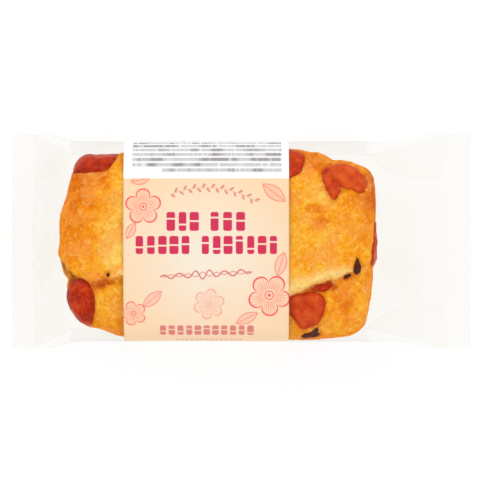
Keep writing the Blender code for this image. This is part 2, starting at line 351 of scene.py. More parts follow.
def sizesAt(x):
    # the sizes of the pack's section at each x
    end = {k: np.where(x < pack["loafMiddle"], ends["left"][k], ends["right"][k]) for k in ends["left"]}
    alongLoaf = (x - pack["loafMiddle"]) / (pack["loafLength"] / 2)
    crown = pack["crown"] - pack["crownFall"] * alongLoaf ** 2
    seal = pack["sealHeight"] - pack["sealDroop"] * smooth(share(x, end["seal"], end["cut"]))
    topPart = ramp(share(x, end["top"], end["seal"]))
    basePart = ramp(share(x, end["base"], end["seal"]))
    spread = smooth(share(x, end["spreadFrom"], end["spreadTo"]))
    halfWidth = mixed(pack["width"], pack["sealWidth"], spread) / 2
    sidePart = share(x, end["side"], end["seal"])
    opening = (1 - (1 - sidePart) ** 2) ** pack["tuckEase"]
    shutting = 1 - smooth(share(sidePart, pack["tuckShutsAt"], 1.0))
    return {
        "halfWidth": halfWidth,
        "baseHalf": np.minimum(halfWidth, mixed(pack["baseWidth"], pack["sealWidth"], basePart) / 2),
        "top": mixed(crown, seal + pack["sealGap"] / 2, topPart),
        "shoulder": mixed(pack["shoulder"], seal + pack["sealGap"] / 4, topPart),
        "base": mixed(0.0, seal - pack["sealGap"] / 2, basePart),
        "corner": mixed(pack["corner"], pack["sealGap"] / 4, basePart),
        "tuck": pack["tuck"] * opening * shutting,
        "wave": pack["sealWave"] * smooth(share(x, end["base"], end["seal"])),
        "waveTurn": end["waveTurn"],
        "loose": sidePart,
    }


def packSkin(x, steps):
    # one closed ring of points at each x: from the crown's middle round by +Y, the base and -Y
    size = {key: np.asarray(value)[:, None] for key, value in sizesAt(x).items()}
    angle = np.linspace(0, math.pi / 2, steps["crown"] + 1)[None, :]
    power = 2 / pack["crownPower"]
    y = [size["halfWidth"] * np.sin(angle) ** power]
    z = [mixed(size["shoulder"], size["top"], np.cos(angle).clip(0) ** power)]
    part = np.linspace(0, 1, steps["side"] + 1)[None, 1:]
    cornerTop = size["base"] + size["corner"]
    y.append(mixed(size["halfWidth"], size["baseHalf"], part) - size["tuck"] * (1 - abs(2 * part - 1)))
    z.append(mixed(size["shoulder"], cornerTop, part))
    angle = np.linspace(0, math.pi / 2, steps["corner"] + 1)[None, 1:]
    y.append(size["baseHalf"] - size["corner"] * (1 - np.cos(angle)))
    z.append(size["base"] + size["corner"] * (1 - np.sin(angle)))
    part = np.linspace(0, 1, steps["floor"] + 1)[None, 1:]
    y.append((size["baseHalf"] - size["corner"]) * (1 - part))
    z.append(size["base"] + 0 * part)
    y, z = np.concatenate(y, axis=1), np.concatenate(z, axis=1)
    y = np.concatenate([y, -y[:, -2:0:-1]], axis=1)
    z = np.concatenate([z, z[:, -2:0:-1]], axis=1)
    z = z + size["wave"] * np.sin(2 * math.pi * y / pack["sealWaveLength"] + size["waveTurn"])
    return np.stack([np.broadcast_to(np.asarray(x)[:, None], y.shape), y, z], axis=-1)


def outwardOf(rings):
    # the outward direction at each point of a run of rings
    along = np.gradient(rings, axis=0)
    around = np.roll(rings, -1, axis=1) - np.roll(rings, 1, axis=1)
    out = np.cross(around, along)
    out /= np.linalg.norm(out, axis=-1, keepdims=True).clip(1e-12)
    return out * (1 if out[len(out) // 2, 0, 2] > 0 else -1)


def keepInPack(points, gap):
    # presses points that would stand out of the film back inside it
    x, y, z = points.T
    size = sizesAt(x)
    side, y = np.sign(y), abs(y)
    power = pack["crownPower"]
    shoulder, cornerTop = size["shoulder"], size["base"] + size["corner"]
    up = ((z - shoulder) / (size["top"] - gap - shoulder)).clip(0)
    over = (((y / (size["halfWidth"] - gap)) ** power + up ** power) ** (1 / power)).clip(1)
    onTop = z > shoulder
    y = np.where(onTop, y / over, y)
    z = np.where(onTop, shoulder + (z - shoulder) / over, z)
    down = share(z, shoulder, cornerTop)
    folded = size["tuck"] * (1 - abs(2 * down - 1))
    wall = mixed(size["halfWidth"], size["baseHalf"], down) - folded - gap
    y = np.where(onTop, y, np.minimum(y, wall))
    floorHalf = size["baseHalf"] - size["corner"]
    outY, outZ = y - floorHalf, z - cornerTop
    inCorner = (outY > 0) & (outZ < 0)
    shrink = ((size["corner"] - gap) / np.hypot(outY, outZ).clip(1e-9)).clip(0, 1)
    y = np.where(inCorner, floorHalf + outY * shrink, y)
    z = np.where(inCorner, cornerTop + outZ * shrink, z)
    return np.stack([x, side * y, np.maximum(z, size["base"] + gap)], axis=1)


# The loaf

loaf = {
    "middle": (-0.0117, -0.0013),
    "halfSize": (0.0805, 0.0488),
    "base": 0.0007,
    "shoulder": 0.0320,  # where it is widest
    "crown": 0.0528,
    "baseShare": 0.925,  # the base's width as a share of the widest
    "baseCorner": 0.05,
    "crownPower": (4.0, 2.6),  # roundness of the top along the loaf and across it
    "turnShare": 0.87,  # where the flat lattice of the top gives way to the walls
    "bendShare": 0.42,  # how much of the wall's lattice goes round the edge of the top
    "cornerShare": 0.86,  # how far down the rest of the wall the bottom corner starts
    "cells": (216, 130, 44),
    "outlineSteps": 24,  # points between two corners of the outline
    "outlineTurns": 2400,  # directions in which it is measured
    "outlineEvened": 9,  # directions on each side that even it
}

# the loaf's outline seen from above, in millimetres, from its right end round by the label's upper edge
loafOutline = [
    (68.4, 0), (68.6, 6), (68.7, 11), (68.8, 16), (68.6, 21), (68.0, 28), (66.9, 33.3), (64.8, 36.3),
    (61.5, 38.7), (58, 40), (54, 40.8), (50, 40.9), (47, 41.2), (45, 42.2), (42.5, 44), (39, 45.2),
    (33, 45.9), (28, 46.9), (20, 47.8), (0, 48.4), (-20, 48.2), (-40, 47.2), (-58, 45.8), (-66, 44.4),
    (-73, 43.9), (-78, 43.9), (-81.8, 42.5), (-84.2, 39.3), (-85.4, 36), (-86.6, 32), (-88.0, 26),
    (-89.3, 21), (-91, 17.6), (-92.3, 14), (-92.8, 10), (-92.9, 4), (-92.8, -3), (-92.2, -8.8),
    (-91.8, -13.0), (-90.6, -16.8), (-88.6, -19.6), (-88.8, -23.6), (-89.2, -27.9), (-88.2, -32),
    (-86.0, -36.6), (-82.5, -41.2), (-78.4, -43.2), (-73, -44.4), (-68, -45.8), (-62, -48.0),
    (-54, -49.5), (-30, -50.2), (0, -50.4), (24, -50.4), (34, -50.2), (42, -49.4), (50, -48.6),
    (55.2, -47.8), (59.6, -46.0), (62.6, -42.6), (64.2, -37.7), (65.9, -30.2), (66.9, -23.3),
    (67.2, -17.2), (67.4, -13), (67.8, -8),
]

# the long split that opened as it baked
split = {
    "points": [  # x, y, depth, and how far pale crumb shows above it
        (-0.0930, -0.0085, 0.0001, 0.0),
        (-0.0914, -0.0100, 0.0002, 0.0),
        (-0.0877, -0.0150, 0.0004, 0.0),
        (-0.0850, -0.0176, 0.0009, 0.0),
        (-0.0820, -0.0184, 0.0024, 0.0),
        (-0.0783, -0.0200, 0.0024, 0.0),
        (-0.0749, -0.0229, 0.0018, 0.0),
        (-0.0722, -0.0221, 0.0018, 0.0),
        (-0.0675, -0.0200, 0.0014, 0.0),
        (-0.0600, -0.0178, 0.0014, 0.0030),
        (-0.0300, -0.0250, 0.0020, 0.0080),
        (0.0100, -0.0330, 0.0034, 0.0130),
        (0.0241, -0.0287, 0.0036, 0.0130),
        (0.0320, -0.0247, 0.0036, 0.0090),
        (0.0400, -0.0210, 0.0034, 0.0072),
        (0.0483, -0.0190, 0.0030, 0.0072),
        (0.0560, -0.0157, 0.0018, 0.0020),
        (0.0640, -0.0132, 0.0007, 0.0),
        (0.0700, -0.0120, 0.0004, 0.0),
    ],
    "wander": (0.009, 0.0009),  # wavelength and reach of its small turns
    "upperWidth": 0.0018,
    "lowerWidth": 0.0050,
    "shallowAt": (0.012, 0.040),  # heights on the end walls where it ends and where it is full
    "lowerFall": 0.0020,  # how much lower the lobe on the -Y side is
    "lowerFrom": (-0.004, 0.001),  # where the lobe is fully lower, and where it isn't
    "lipHeight": 0.0010,
    "lipWidth": 0.0032,
}
splitX, splitY, splitDepth, splitCrumb = np.array(split["points"]).T

# the crust's relief: broad, middling and fine lumps, with their heights on the top and on the walls
relief = {
    "edge": (0.026, 0.041),  # heights between which the walls turn into the top
    "wavelengths": (0.024, 0.0085, 0.0030),
    "topHeights": (0.0008, 0.00050, 0.00022),
    "wallHeights": (0.0005, 0.00022, 0.00012),
    "byLip": {"more": 1.2, "middle": 0.002, "reach": 0.004},  # rougher along the split's lip
    "dimples": [  # middle, half sizes, turn, depth
        (0.0368, 0.0163, 0.0036, 0.0019, -8, 0.0008),
        (0.0395, 0.0096, 0.0038, 0.0028, 10, 0.0009),
    ],
    "fruitRim": {"height": 0.00045, "outside": 0.0012, "width": 0.0009, "ragged": (0.0004, 0.0003)},
    "fruitPit": 0.0020,  # how deep the crust lies under the fruit
    "pitSlope": 0.0014,  # how far in from a fruit's edge the crust is that low
    "filmGap": 0.0006,  # at least, between the crust and the pack's skin
}


def loafLattice(counts):
    # points and quads over the outside of a box, with coordinates from -1 to 1
    numbers, faces = {}, []

    def number(place):
        return numbers.setdefault(place, len(numbers))

    for flat in range(3):
        first, second = [axis for axis in range(3) if axis != flat]
        for level in (0, counts[flat]):
            for i in range(counts[first]):
                for j in range(counts[second]):
                    face = []
                    for stepI, stepJ in ((0, 0), (1, 0), (1, 1), (0, 1)):
                        place = [0, 0, 0]
                        place[flat], place[first], place[second] = level, i + stepI, j + stepJ
                        face.append(number(tuple(place)))
                    faces.append(face)
    return np.array(list(numbers)) / np.array(counts) * 2 - 1, faces


def outlineRadius(angle):
    # how far the loaf's outline is from its middle, in each direction
    corners = np.array(loafOutline + loafOutline[:1]) / 1000 - loaf["middle"]
    steps = np.linspace(0, 1, loaf["outlineSteps"], endpoint=False)[:, None]
    line = np.concatenate([mixed(a, b, steps) for a, b in zip(corners[:-1], corners[1:])])
    turns = np.arctan2(line[:, 1], line[:, 0])
    order = np.argsort(turns)
    fine = np.linspace(-math.pi, math.pi, loaf["outlineTurns"], endpoint=False)
    radius = np.interp(fine, turns[order], np.hypot(*line[order].T), period=2 * math.pi)
    reach = loaf["outlineEvened"]
    window = np.hanning(2 * reach + 1)
    padded = np.concatenate([radius[-reach:], radius, radius[:reach]])
    radius = np.convolve(padded, window / window.sum(), mode="valid")
    return np.interp(angle, fine, radius, period=2 * math.pi)


def baseLoaf(lattice):
    # lays the lattice over the plain loaf: domed top, walls that narrow downwards, flat base
    a, b, c = lattice.T
    halfX, halfY = loaf["halfSize"]
    square = np.maximum(abs(a), abs(b)).clip(1e-6)
    angle = np.arctan2(b * halfY, a * halfX)
    radius = outlineRadius(angle)
    across = np.sin(np.arctan2(b, a)) ** 2
    power = mixed(loaf["crownPower"][0], loaf["crownPower"][1], across)
    rise = loaf["crown"] - loaf["shoulder"]
    turn = loaf["turnShare"]
    topOut = square * turn
    wall = (1 - c) / 2  # 0 at the wall's top, 1 at its foot
    bend = share(wall, 0.0, loaf["bendShare"])
    startAngle = np.arcsin(turn ** (power / 2))
    bendAngle = mixed(startAngle, math.pi / 2, bend)
    wallOut = np.sin(bendAngle) ** (2 / power)
    wallUp = loaf["shoulder"] + rise * np.cos(bendAngle).clip(0) ** (2 / power)
    fall = share(wall, loaf["bendShare"], 1.0)
    corner = share(fall, loaf["cornerShare"], 1.0)
    foot = loaf["baseShare"]
    tapered = mixed(1.0, foot, fall) - loaf["baseCorner"] * (1 - np.sqrt(1 - corner ** 2))
    wallOut = np.where(bend < 1, wallOut, tapered)
    wallUp = np.where(bend < 1, wallUp, mixed(loaf["shoulder"], loaf["base"], fall))
    onTop, onBase = c > 0.999, c < -0.999
    out = np.where(onTop, topOut, np.where(onBase, square * (foot - loaf["baseCorner"]), wallOut))
    up = loaf["shoulder"] + rise * (1 - topOut ** power).clip(0) ** (1 / power)
    z = np.where(onTop, up, np.where(onBase, loaf["base"], wallUp))
    x = loaf["middle"][0] + np.cos(angle) * radius * out
    y = loaf["middle"][1] + np.sin(angle) * radius * out
    return np.stack([x, y, z], axis=1)


def ellipseAt(x, y, spot):
    # 1 at an ellipse's middle on the plan, 0.5 at its edge, falling away past it
    middleX, middleY, halfX, halfY, turn = spot[:5]
    turn = math.radians(turn)
    dx, dy = x - middleX, y - middleY
    along = (dx * math.cos(turn) + dy * math.sin(turn)) / halfX
    beside = (dy * math.cos(turn) - dx * math.sin(turn)) / halfY
    return 1 / (1 + (along ** 2 + beside ** 2) ** 2)


# glace cherries: the outline of each on the plan in millimetres, how far it stands out of the crust, and
# how bright a red it is
cherries = {
    "topLeft": {"rise": 0.0013, "tint": 0.41, "outline": [
        (-86.2, 35.0), (-86.0, 40.0), (-83.6, 44.2), (-79.0, 46.0), (-74.5, 46.2), (-71.1, 46.0),
        (-68.1, 45.8), (-65.7, 45.8), (-62.6, 45.4), (-63.2, 42.2), (-65.0, 39.0), (-67.2, 36.3),
        (-69.6, 35.1), (-74.5, 34.7), (-80.4, 34.4),
    ]},
    "lowerLeft": {"rise": 0.0022, "tint": 0.38, "outline": [
        (-82.1, -18.3), (-78.6, -20.2), (-75.2, -23.5), (-74.2, -27.2), (-73.9, -32.6), (-74.4, -37.7),
        (-75.6, -41.2), (-78.4, -42.8), (-82.1, -41.2), (-85.8, -36.8), (-88.2, -32), (-89.3, -27.9),
        (-88.4, -23.8), (-86.1, -20.1),
    ]},
    "underLabel": {"rise": 0.0014, "tint": 0.56, "outline": [
        (17.4, 43.0), (20.1, 46.1), (24.1, 47.0), (28.2, 45.7), (31.5, 44.1), (32.0, 41.0),
        (30.9, 36.8), (28.2, 34.1), (24.1, 31.9), (20.1, 32.6), (17.4, 36.3),
    ]},
    "upperRightTail": {"rise": 0.0008, "tint": 0.62, "outline": [
        (40.5, 35.5), (43.6, 37.3), (47.4, 34.2), (49.4, 30.9), (50.3, 27.5), (49.2, 24.1),
        (46.8, 20.8), (44.7, 22.4), (42.4, 26.2), (40.9, 30.2),
    ]},
    "upperRight": {"rise": 0.0016, "tint": 0.72, "outline": [
        (43.3, 37.3), (48.4, 39.0), (52.5, 39.2), (55.8, 38.2), (59.2, 35.9), (62.0, 32.9),
        (63.4, 29.4), (62.7, 26.2), (61.1, 24.4), (58.0, 24.8), (55.2, 26.3), (51.8, 26.7),
        (48.7, 27.9), (45.8, 30.9), (43.7, 34.3),
    ]},
    "lower": {"rise": 0.0016, "tint": 0.63, "outline": [
        (20.7, -33.2), (22.7, -29.5), (25.8, -27.1), (30.2, -26.3), (34.9, -25.4), (38.8, -25.8),
        (41.3, -27.8), (42.3, -30.6), (41.6, -35.2), (40.5, -38.6), (38.3, -41.8), (34.9, -43.4),
        (31.5, -44.5), (29.1, -43.0), (26.8, -39.6), (23.8, -36.5),
    ]},
    "fleck": {"rise": 0.0004, "tint": 0.46, "outline": [
        (35.9, -24.4), (38.2, -22.0), (42.3, -20.8), (45.4, -20.9), (45.8, -22.4), (43.6, -24.6),
        (40.9, -25.6),
    ]},
}

raisins = {
    "byRightEnd": {"rise": 0.0008, "tint": 0.5, "outline": [
        (58.1, -8.2), (59.6, -10.6), (60.4, -13.0), (59.8, -15.3), (58.1, -16.7), (56.5, -15.0),
        (56.8, -11.6),
    ]},
    "inSplit": {"rise": 0.0003, "tint": 0.8, "outline": [
        (51.5, -17.8), (52.9, -16.4), (55.0, -16.2), (56.0, -17.1), (54.2, -18.0), (52.5, -18.9),
    ]},
    "lower": {"rise": 0.0006, "tint": 0.4, "outline": [
        (30.2, -47.9), (32.3, -46.4), (34.9, -46.0), (37.7, -43.4), (39.0, -44.6), (38.6, -46.0),
        (40.0, -47.0), (37.4, -48.5), (34.0, -49.0), (31.1, -49.0),
    ]},
    "dot": {"rise": 0.0004, "tint": 0.3, "outline": [
        (-67.9, -16.4), (-67.0, -15.9), (-66.2, -16.5), (-66.4, -17.5), (-67.4, -17.7),
    ]},
}

# from where and which way each side of the loaf is looked for, with the directions of an outline on it
sides = {
    "top": {"start": (0, 0, 0.08), "aim": (0, 0, -1), "across": (1, 0, 0), "up": (0, 1, 0)},
    "front": {"start": (0, -0.08, 0), "aim": (0, 1, 0), "across": (1, 0, 0), "up": (0, 0, 1)},
    "back": {"start": (0, 0.08, 0), "aim": (0, -1, 0), "across": (1, 0, 0), "up": (0, 0, 1)},
    "left": {"start": (-0.12, 0, 0), "aim": (1, 0, 0), "across": (0, 1, 0), "up": (0, 0, 1)},
    "right": {"start": (0.11, 0, 0), "aim": (-1, 0, 0), "across": (0, 1, 0), "up": (0, 0, 1)},
}

# fruit in the walls, with the outline across and up
wallCherries = [
    {"side": "right", "rise": 0.0008, "tint": 0.50, "evened": 3, "outline": [
        (11.0, 37.0), (10.2, 41.6), (4, 42.6), (0, 43.0), (-4, 43.6), (-8, 44.4), (-11.5, 44.6),
        (-13.4, 42.0), (-12.6, 37), (-8.6, 33.6), (-2, 34.6), (3.4, 32.8), (8.2, 34.2),
    ]},
    {"side": "front", "rise": 0.0012, "tint": 0.35, "outline": [
        (39, 17), (42, 22.5), (48, 24.5), (54, 22), (56.5, 17), (53, 12.5), (46, 11.5), (41, 13),
    ]},
    {"side": "back", "rise": 0.0012, "tint": 0.45, "outline": [
        (-78, 20), (-75, 26), (-69, 28), (-63.5, 24.5), (-62.5, 19), (-66.5, 14.5), (-73, 14),
    ]},
    {"side": "back", "rise": 0.0010, "tint": 0.55, "outline": [
        (32, 13), (35, 18), (41, 19.5), (46.5, 16.5), (47.5, 11.5), (42, 8.5), (35.5, 9),
    ]},
]
wallRaisins = [
    {"side": "front", "rise": 0.0007, "tint": 0.5, "outline": [
        (30, 26), (33, 29.4), (37, 29.8), (38.2, 27.6), (35.4, 24.8), (31.6, 24.2),
    ]},
    {"side": "front", "rise": 0.0007, "tint": 0.4, "outline": [
        (-70, 15), (-67.6, 19), (-63.4, 18.8), (-62, 15.6), (-65, 12.6), (-68.6, 12.8),
    ]},
    {"side": "back", "rise": 0.0007, "tint": 0.5, "outline": [
        (51.6, 17), (53.4, 21.8), (57, 23), (59, 20.4), (56.6, 16.8), (53.4, 15.4),
    ]},
    {"side": "left", "rise": 0.0007, "tint": 0.5, "outline": [
        (15.4, 17), (17.4, 20.8), (20.4, 20.2), (21.2, 16.6), (19, 13.6), (16.4, 13.8),
    ]},
    {"side": "right", "rise": 0.0007, "tint": 0.5, "outline": [
        (-31.4, 24), (-29, 27.6), (-25.2, 27), (-23.8, 23.8), (-26.2, 21), (-29.8, 21.2),
    ]},
]

# patches of the crust: middle, half sizes, turn, and how much browner than golden
crustPatches = [
    (-0.0756, 0.0317, 0.0080, 0.0026, 6, 0.28),  # under the cherry at the upper left
    (-0.0800, 0.0210, 0.0070, 0.0120, -8, 0.20),  # smooth plane at the left
    (-0.0880, 0.0020, 0.0040, 0.0120, 0, 0.10),
    (-0.0700, 0.0370, 0.0060, 0.0030, 0, 0.12),
    (-0.0645, 0.0080, 0.0070, 0.0190, -6, -0.30),  # pale rough middle
    (-0.0635, -0.0050, 0.0055, 0.0110, 0, -0.34),
    (-0.0680, 0.0164, 0.0028, 0.0040, 0, 0.18),
    (-0.0685, 0.0290, 0.0026, 0.0034, 0, 0.20),
    (-0.0690, -0.0200, 0.0060, 0.0030, 10, 0.30),
    (-0.0850, 0.0120, 0.0060, 0.0200, 0, 0.16),
    (-0.0740, 0.0020, 0.0050, 0.0140, 0, 0.12),
    (-0.0660, -0.0340, 0.0080, 0.0100, 0, -0.04),  # lower lobe at the left
    (-0.0600, -0.0440, 0.0050, 0.0050, 0, 0.20),
    (0.0375, 0.0400, 0.0070, 0.0048, -15, 0.42),  # by the upper cherries
    (0.0655, 0.0260, 0.0032, 0.0130, 0, 0.50),
    (0.0580, 0.0205, 0.0075, 0.0040, -10, 0.34),
    (0.0360, 0.0120, 0.0130, 0.0190, 0, -0.18),
    (0.0420, 0.0245, 0.0080, 0.0050, -30, -0.14),
    (0.0368, 0.0163, 0.0040, 0.0021, -8, 0.58),  # the dimple
    (0.0395, 0.0096, 0.0044, 0.0033, 10, 0.58),
    (0.0590, 0.0040, 0.0075, 0.0120, 0, 0.04),
    (0.0330, -0.0120, 0.0100, 0.0060, 20, -0.08),
    (0.0515, -0.0320, 0.0034, 0.0080, 8, 0.26),  # lower lobe at the right
    (0.0605, -0.0330, 0.0040, 0.0100, 0, -0.12),
    (0.0460, -0.0420, 0.0080, 0.0050, 0, -0.06),
]

# juice that soaked into the crumb round the fruit: middle, half sizes, turn, strength
juiceStains = [
    (-0.0700, -0.0212, 0.0058, 0.0019, 18, 0.70),
    (0.0385, -0.0240, 0.0080, 0.0024, 21, 0.95),
    (0.0456, -0.0222, 0.0028, 0.0024, 0, 0.80),
    (0.0535, -0.0178, 0.0040, 0.0015, 25, 0.70),
    (-0.0775, -0.0215, 0.0050, 0.0012, -38, 0.45),
]


fruitEdge = {"wavelength": 0.0030, "ragged": 0.0005}


def closedLine(outline, steps=6):
    # a smooth but slightly ragged closed line through an outline in millimetres, as points in metres
    at = np.array(outline, float) / 1000
    before, after, later = (np.roll(at, by, axis=0)[:, None] for by in (1, -1, -2))
    at = at[:, None]
    part = np.linspace(0, 1, steps, endpoint=False)[None, :, None]
    line = 2 * at + (after - before) * part + (2 * before - 5 * at + 4 * after - later) * part ** 2
    line += (3 * at - before - 3 * after + later) * part ** 3
    line = (line / 2).reshape(-1, 2)
    away = line - line.mean(axis=0)
    flat = np.insert(line, 2, 0.0, axis=1)
    ragged = fruitEdge["ragged"] * noiseAt(flat, fruitEdge["wavelength"], 41, 2)
    return line + away / np.linalg.norm(away, axis=1, keepdims=True) * ragged[:, None]


def insideBy(x, y, line, reach=0.004):
    # how far each point is inside a closed line on the plan, negative outside it
    far = np.full(len(x), -reach)
    low, high = line.min(axis=0) - reach, line.max(axis=0) + reach
    near = (x > low[0]) & (x < high[0]) & (y > low[1]) & (y < high[1])
    px, py = x[near][:, None], y[near][:, None]
    ax, ay = line.T
    runX, runY = (np.roll(line, -1, axis=0) - line).T
    along = (((px - ax) * runX + (py - ay) * runY) / (runX ** 2 + runY ** 2)).clip(0, 1)
    gap = np.hypot(px - ax - along * runX, py - ay - along * runY).min(axis=1)
    steep = np.where(abs(runY) < 1e-9, 1e-9, runY)
    crossed = ((ay > py) != (ay + runY > py)) & (px < ax + (py - ay) / steep * runX)
    far[near] = np.where(crossed.sum(axis=1) % 2 == 1, gap, -gap).clip(-reach)
    return far


def splitOffset(points):
    # how far each point is from the split on the plan, positive on the +Y side, and the depth there
    x, y = points[:, 0], points[:, 1]
    wavelength, reach = split["wander"]
    wander = noiseAt(points * (1, 0, 0), wavelength, 4, 3) * reach
    lineY = np.interp(x, splitX, splitY) + wander
    return y - lineY, np.interp(x, splitX, splitDepth)


def makeLoaf(finish):
    lattice, faces = loafLattice(loaf["cells"])
    piece = meshFrom("bakedLoaf", baseLoaf(lattice), faces, finish)
    points, out = pointsOf(piece), normalsOf(piece)
    x, y, z = points.T
    topness = smooth(share(z, *relief["edge"]))
    sideness = 1 - topness
    offset, depth = splitOffset(points)
    valley = np.exp(-abs(offset) / np.where(offset > 0, split["upperWidth"], split["lowerWidth"]))
    lip = np.exp(-((offset - split["lipWidth"]) / split["lipWidth"]) ** 2)
    lower = 1 - smooth(share(offset, *split["lowerFrom"]))
    move = -depth * valley * smooth(share(z, *split["shallowAt"]))
    move += topness * split["lipHeight"] * lip
    broad, middling, fine = [
        noiseAt(points, size, seed, 2) for seed, size in enumerate(relief["wavelengths"], 1)
    ]
    byLip = relief["byLip"]
    rough = 1 + byLip["more"] * np.exp(-abs(offset - byLip["middle"]) / byLip["reach"])
    high = relief["topHeights"]
    move += topness * (high[0] * broad + rough * (high[1] * middling + high[2] * fine))
    high = relief["wallHeights"]
    move += sideness * (high[0] * broad + high[1] * middling + high[2] * fine)
    for dimple in relief["dimples"]:
        move -= dimple[5] * topness * ellipseAt(x, y, dimple)
    fruits = [*cherries.values(), *raisins.values()]
    inFruit = np.max([insideBy(x, y, closedLine(fruit["outline"])) for fruit in fruits], axis=0)
    rim = relief["fruitRim"]
    ragged = inFruit + rim["ragged"][0] * middling + rim["ragged"][1] * fine
    move += rim["height"] * topness * np.exp(-((ragged + rim["outside"]) / rim["width"]) ** 2)
    onBase = z < loaf["base"] + 1e-6
    move[onBase] = 0
    points = points + out * move[:, None]
    points[:, 2] -= split["lowerFall"] * topness * lower
    points = keepInPack(points, relief["filmGap"])
    points[:, 2] = points[:, 2].clip(loaf["base"])
    movePoints(piece, points)
    paintLoaf(piece, points, topness, offset, inFruit)
    crustTree = BVHTree.FromPolygons(points.tolist(), [tuple(p.vertices) for p in piece.data.polygons])
    pit = relief["fruitPit"] * topness * smooth(share(inFruit, 0.0, relief["pitSlope"]))
    movePoints(piece, points - out * pit[:, None])
    return piece, crustTree


# how brown the crust is, from 0 to 1, and where its marks lie: each pair of places is where a mark begins
# and where it is full
baking = {
    "patchEdges": (0.0045, 0.0016),  # wavelength and reach of their raggedness
    "top": 0.43,
    "topUneven": (0.014, 0.12),  # wavelength and strength
    "topEdge": {"more": 0.16, "heights": (0.050, 0.036)},
    "wall": 0.70,
    "wallUneven": (0.012, 0.14),
    "wallFoot": {"more": 0.10, "heights": (0.016, 0.0)},
    "wallTop": {"less": 0.18, "heights": (0.022, 0.034)},
    "splitEdges": (0.0035, 0.0013),  # wavelength and reach of their raggedness
    "crumb": {  # gone a little past its width, and full at a share of it
        "lower": (-0.0002, 0.0010), "narrow": (0.0, 0.002), "ragged": 1.4, "past": 0.0010, "full": 0.45,
    },
    "halo": {"strength": 0.42, "ragged": 0.7, "outside": (-0.0016, -0.0001)},  # juice round each fruit
    "crackShade": {  # painted deep shade where the split runs out at the left end
        "lower": (-0.0080, -0.0062), "upper": (0.0021, 0.0009), "ragged": 0.7,
        "along": (-0.0810, -0.0850), "heights": (0.0370, 0.0420),
    },
}


def paintLoaf(piece, points, topness, offset, inFruit):
    x, y, z = points.T
    size, reach = baking["patchEdges"]
    warp = noiseAt(points, size, 11, 3) * reach
    warpedX, warpedY = x + warp, y + noiseAt(points, size, 12, 3) * reach
    size, strength = baking["topUneven"]
    browned = baking["top"] + strength * noiseAt(points, size, 13, 3)
    for patch in crustPatches:
        browned += patch[5] * ellipseAt(warpedX, warpedY, patch)
    edge, foot, top = baking["topEdge"], baking["wallFoot"], baking["wallTop"]
    browned += edge["more"] * smooth(share(z, *edge["heights"]))
    size, strength = baking["wallUneven"]
    wallTone = baking["wall"] + strength * noiseAt(points, size, 14, 2)
    wallTone += foot["more"] * share(z, *foot["heights"])
    wallTone -= top["less"] * smooth(share(z, *top["heights"]))
    store(piece, "browned", mixed(wallTone, browned, topness).clip(0, 1))
    size, reach = baking["splitEdges"]
    wobble = noiseAt(points, size, 15, 3) * reach
    look = baking["crumb"]
    crumbWidth = np.interp(x, splitX, splitCrumb)
    crumb = smooth(share(offset + wobble, *look["lower"])) * share(crumbWidth, *look["narrow"])
    ragged = offset + look["ragged"] * wobble
    crumb *= smooth(share(ragged, crumbWidth + look["past"], crumbWidth * look["full"]))
    store(piece, "crumb", (topness * crumb).clip(0, 1))
    stain = np.zeros(len(x))
    for spot in juiceStains:
        stain = np.maximum(stain, spot[5] * smooth(ellipseAt(warpedX, warpedY, spot)))
    look = baking["halo"]
    halo = smooth(share(inFruit + look["ragged"] * warp, *look["outside"]))
    store(piece, "stain", np.maximum(stain, look["strength"] * halo) * topness)
    # painted shade in the crevice where the split runs out at the left end
    look = baking["crackShade"]
    crackShade = smooth(share(offset, *look["lower"]))
    crackShade *= smooth(share(offset + look["ragged"] * wobble, *look["upper"]))
    crackShade *= smooth(share(x, *look["along"])) * smooth(share(z + wobble, *look["heights"]))
    store(piece, "crackShade", crackShade)


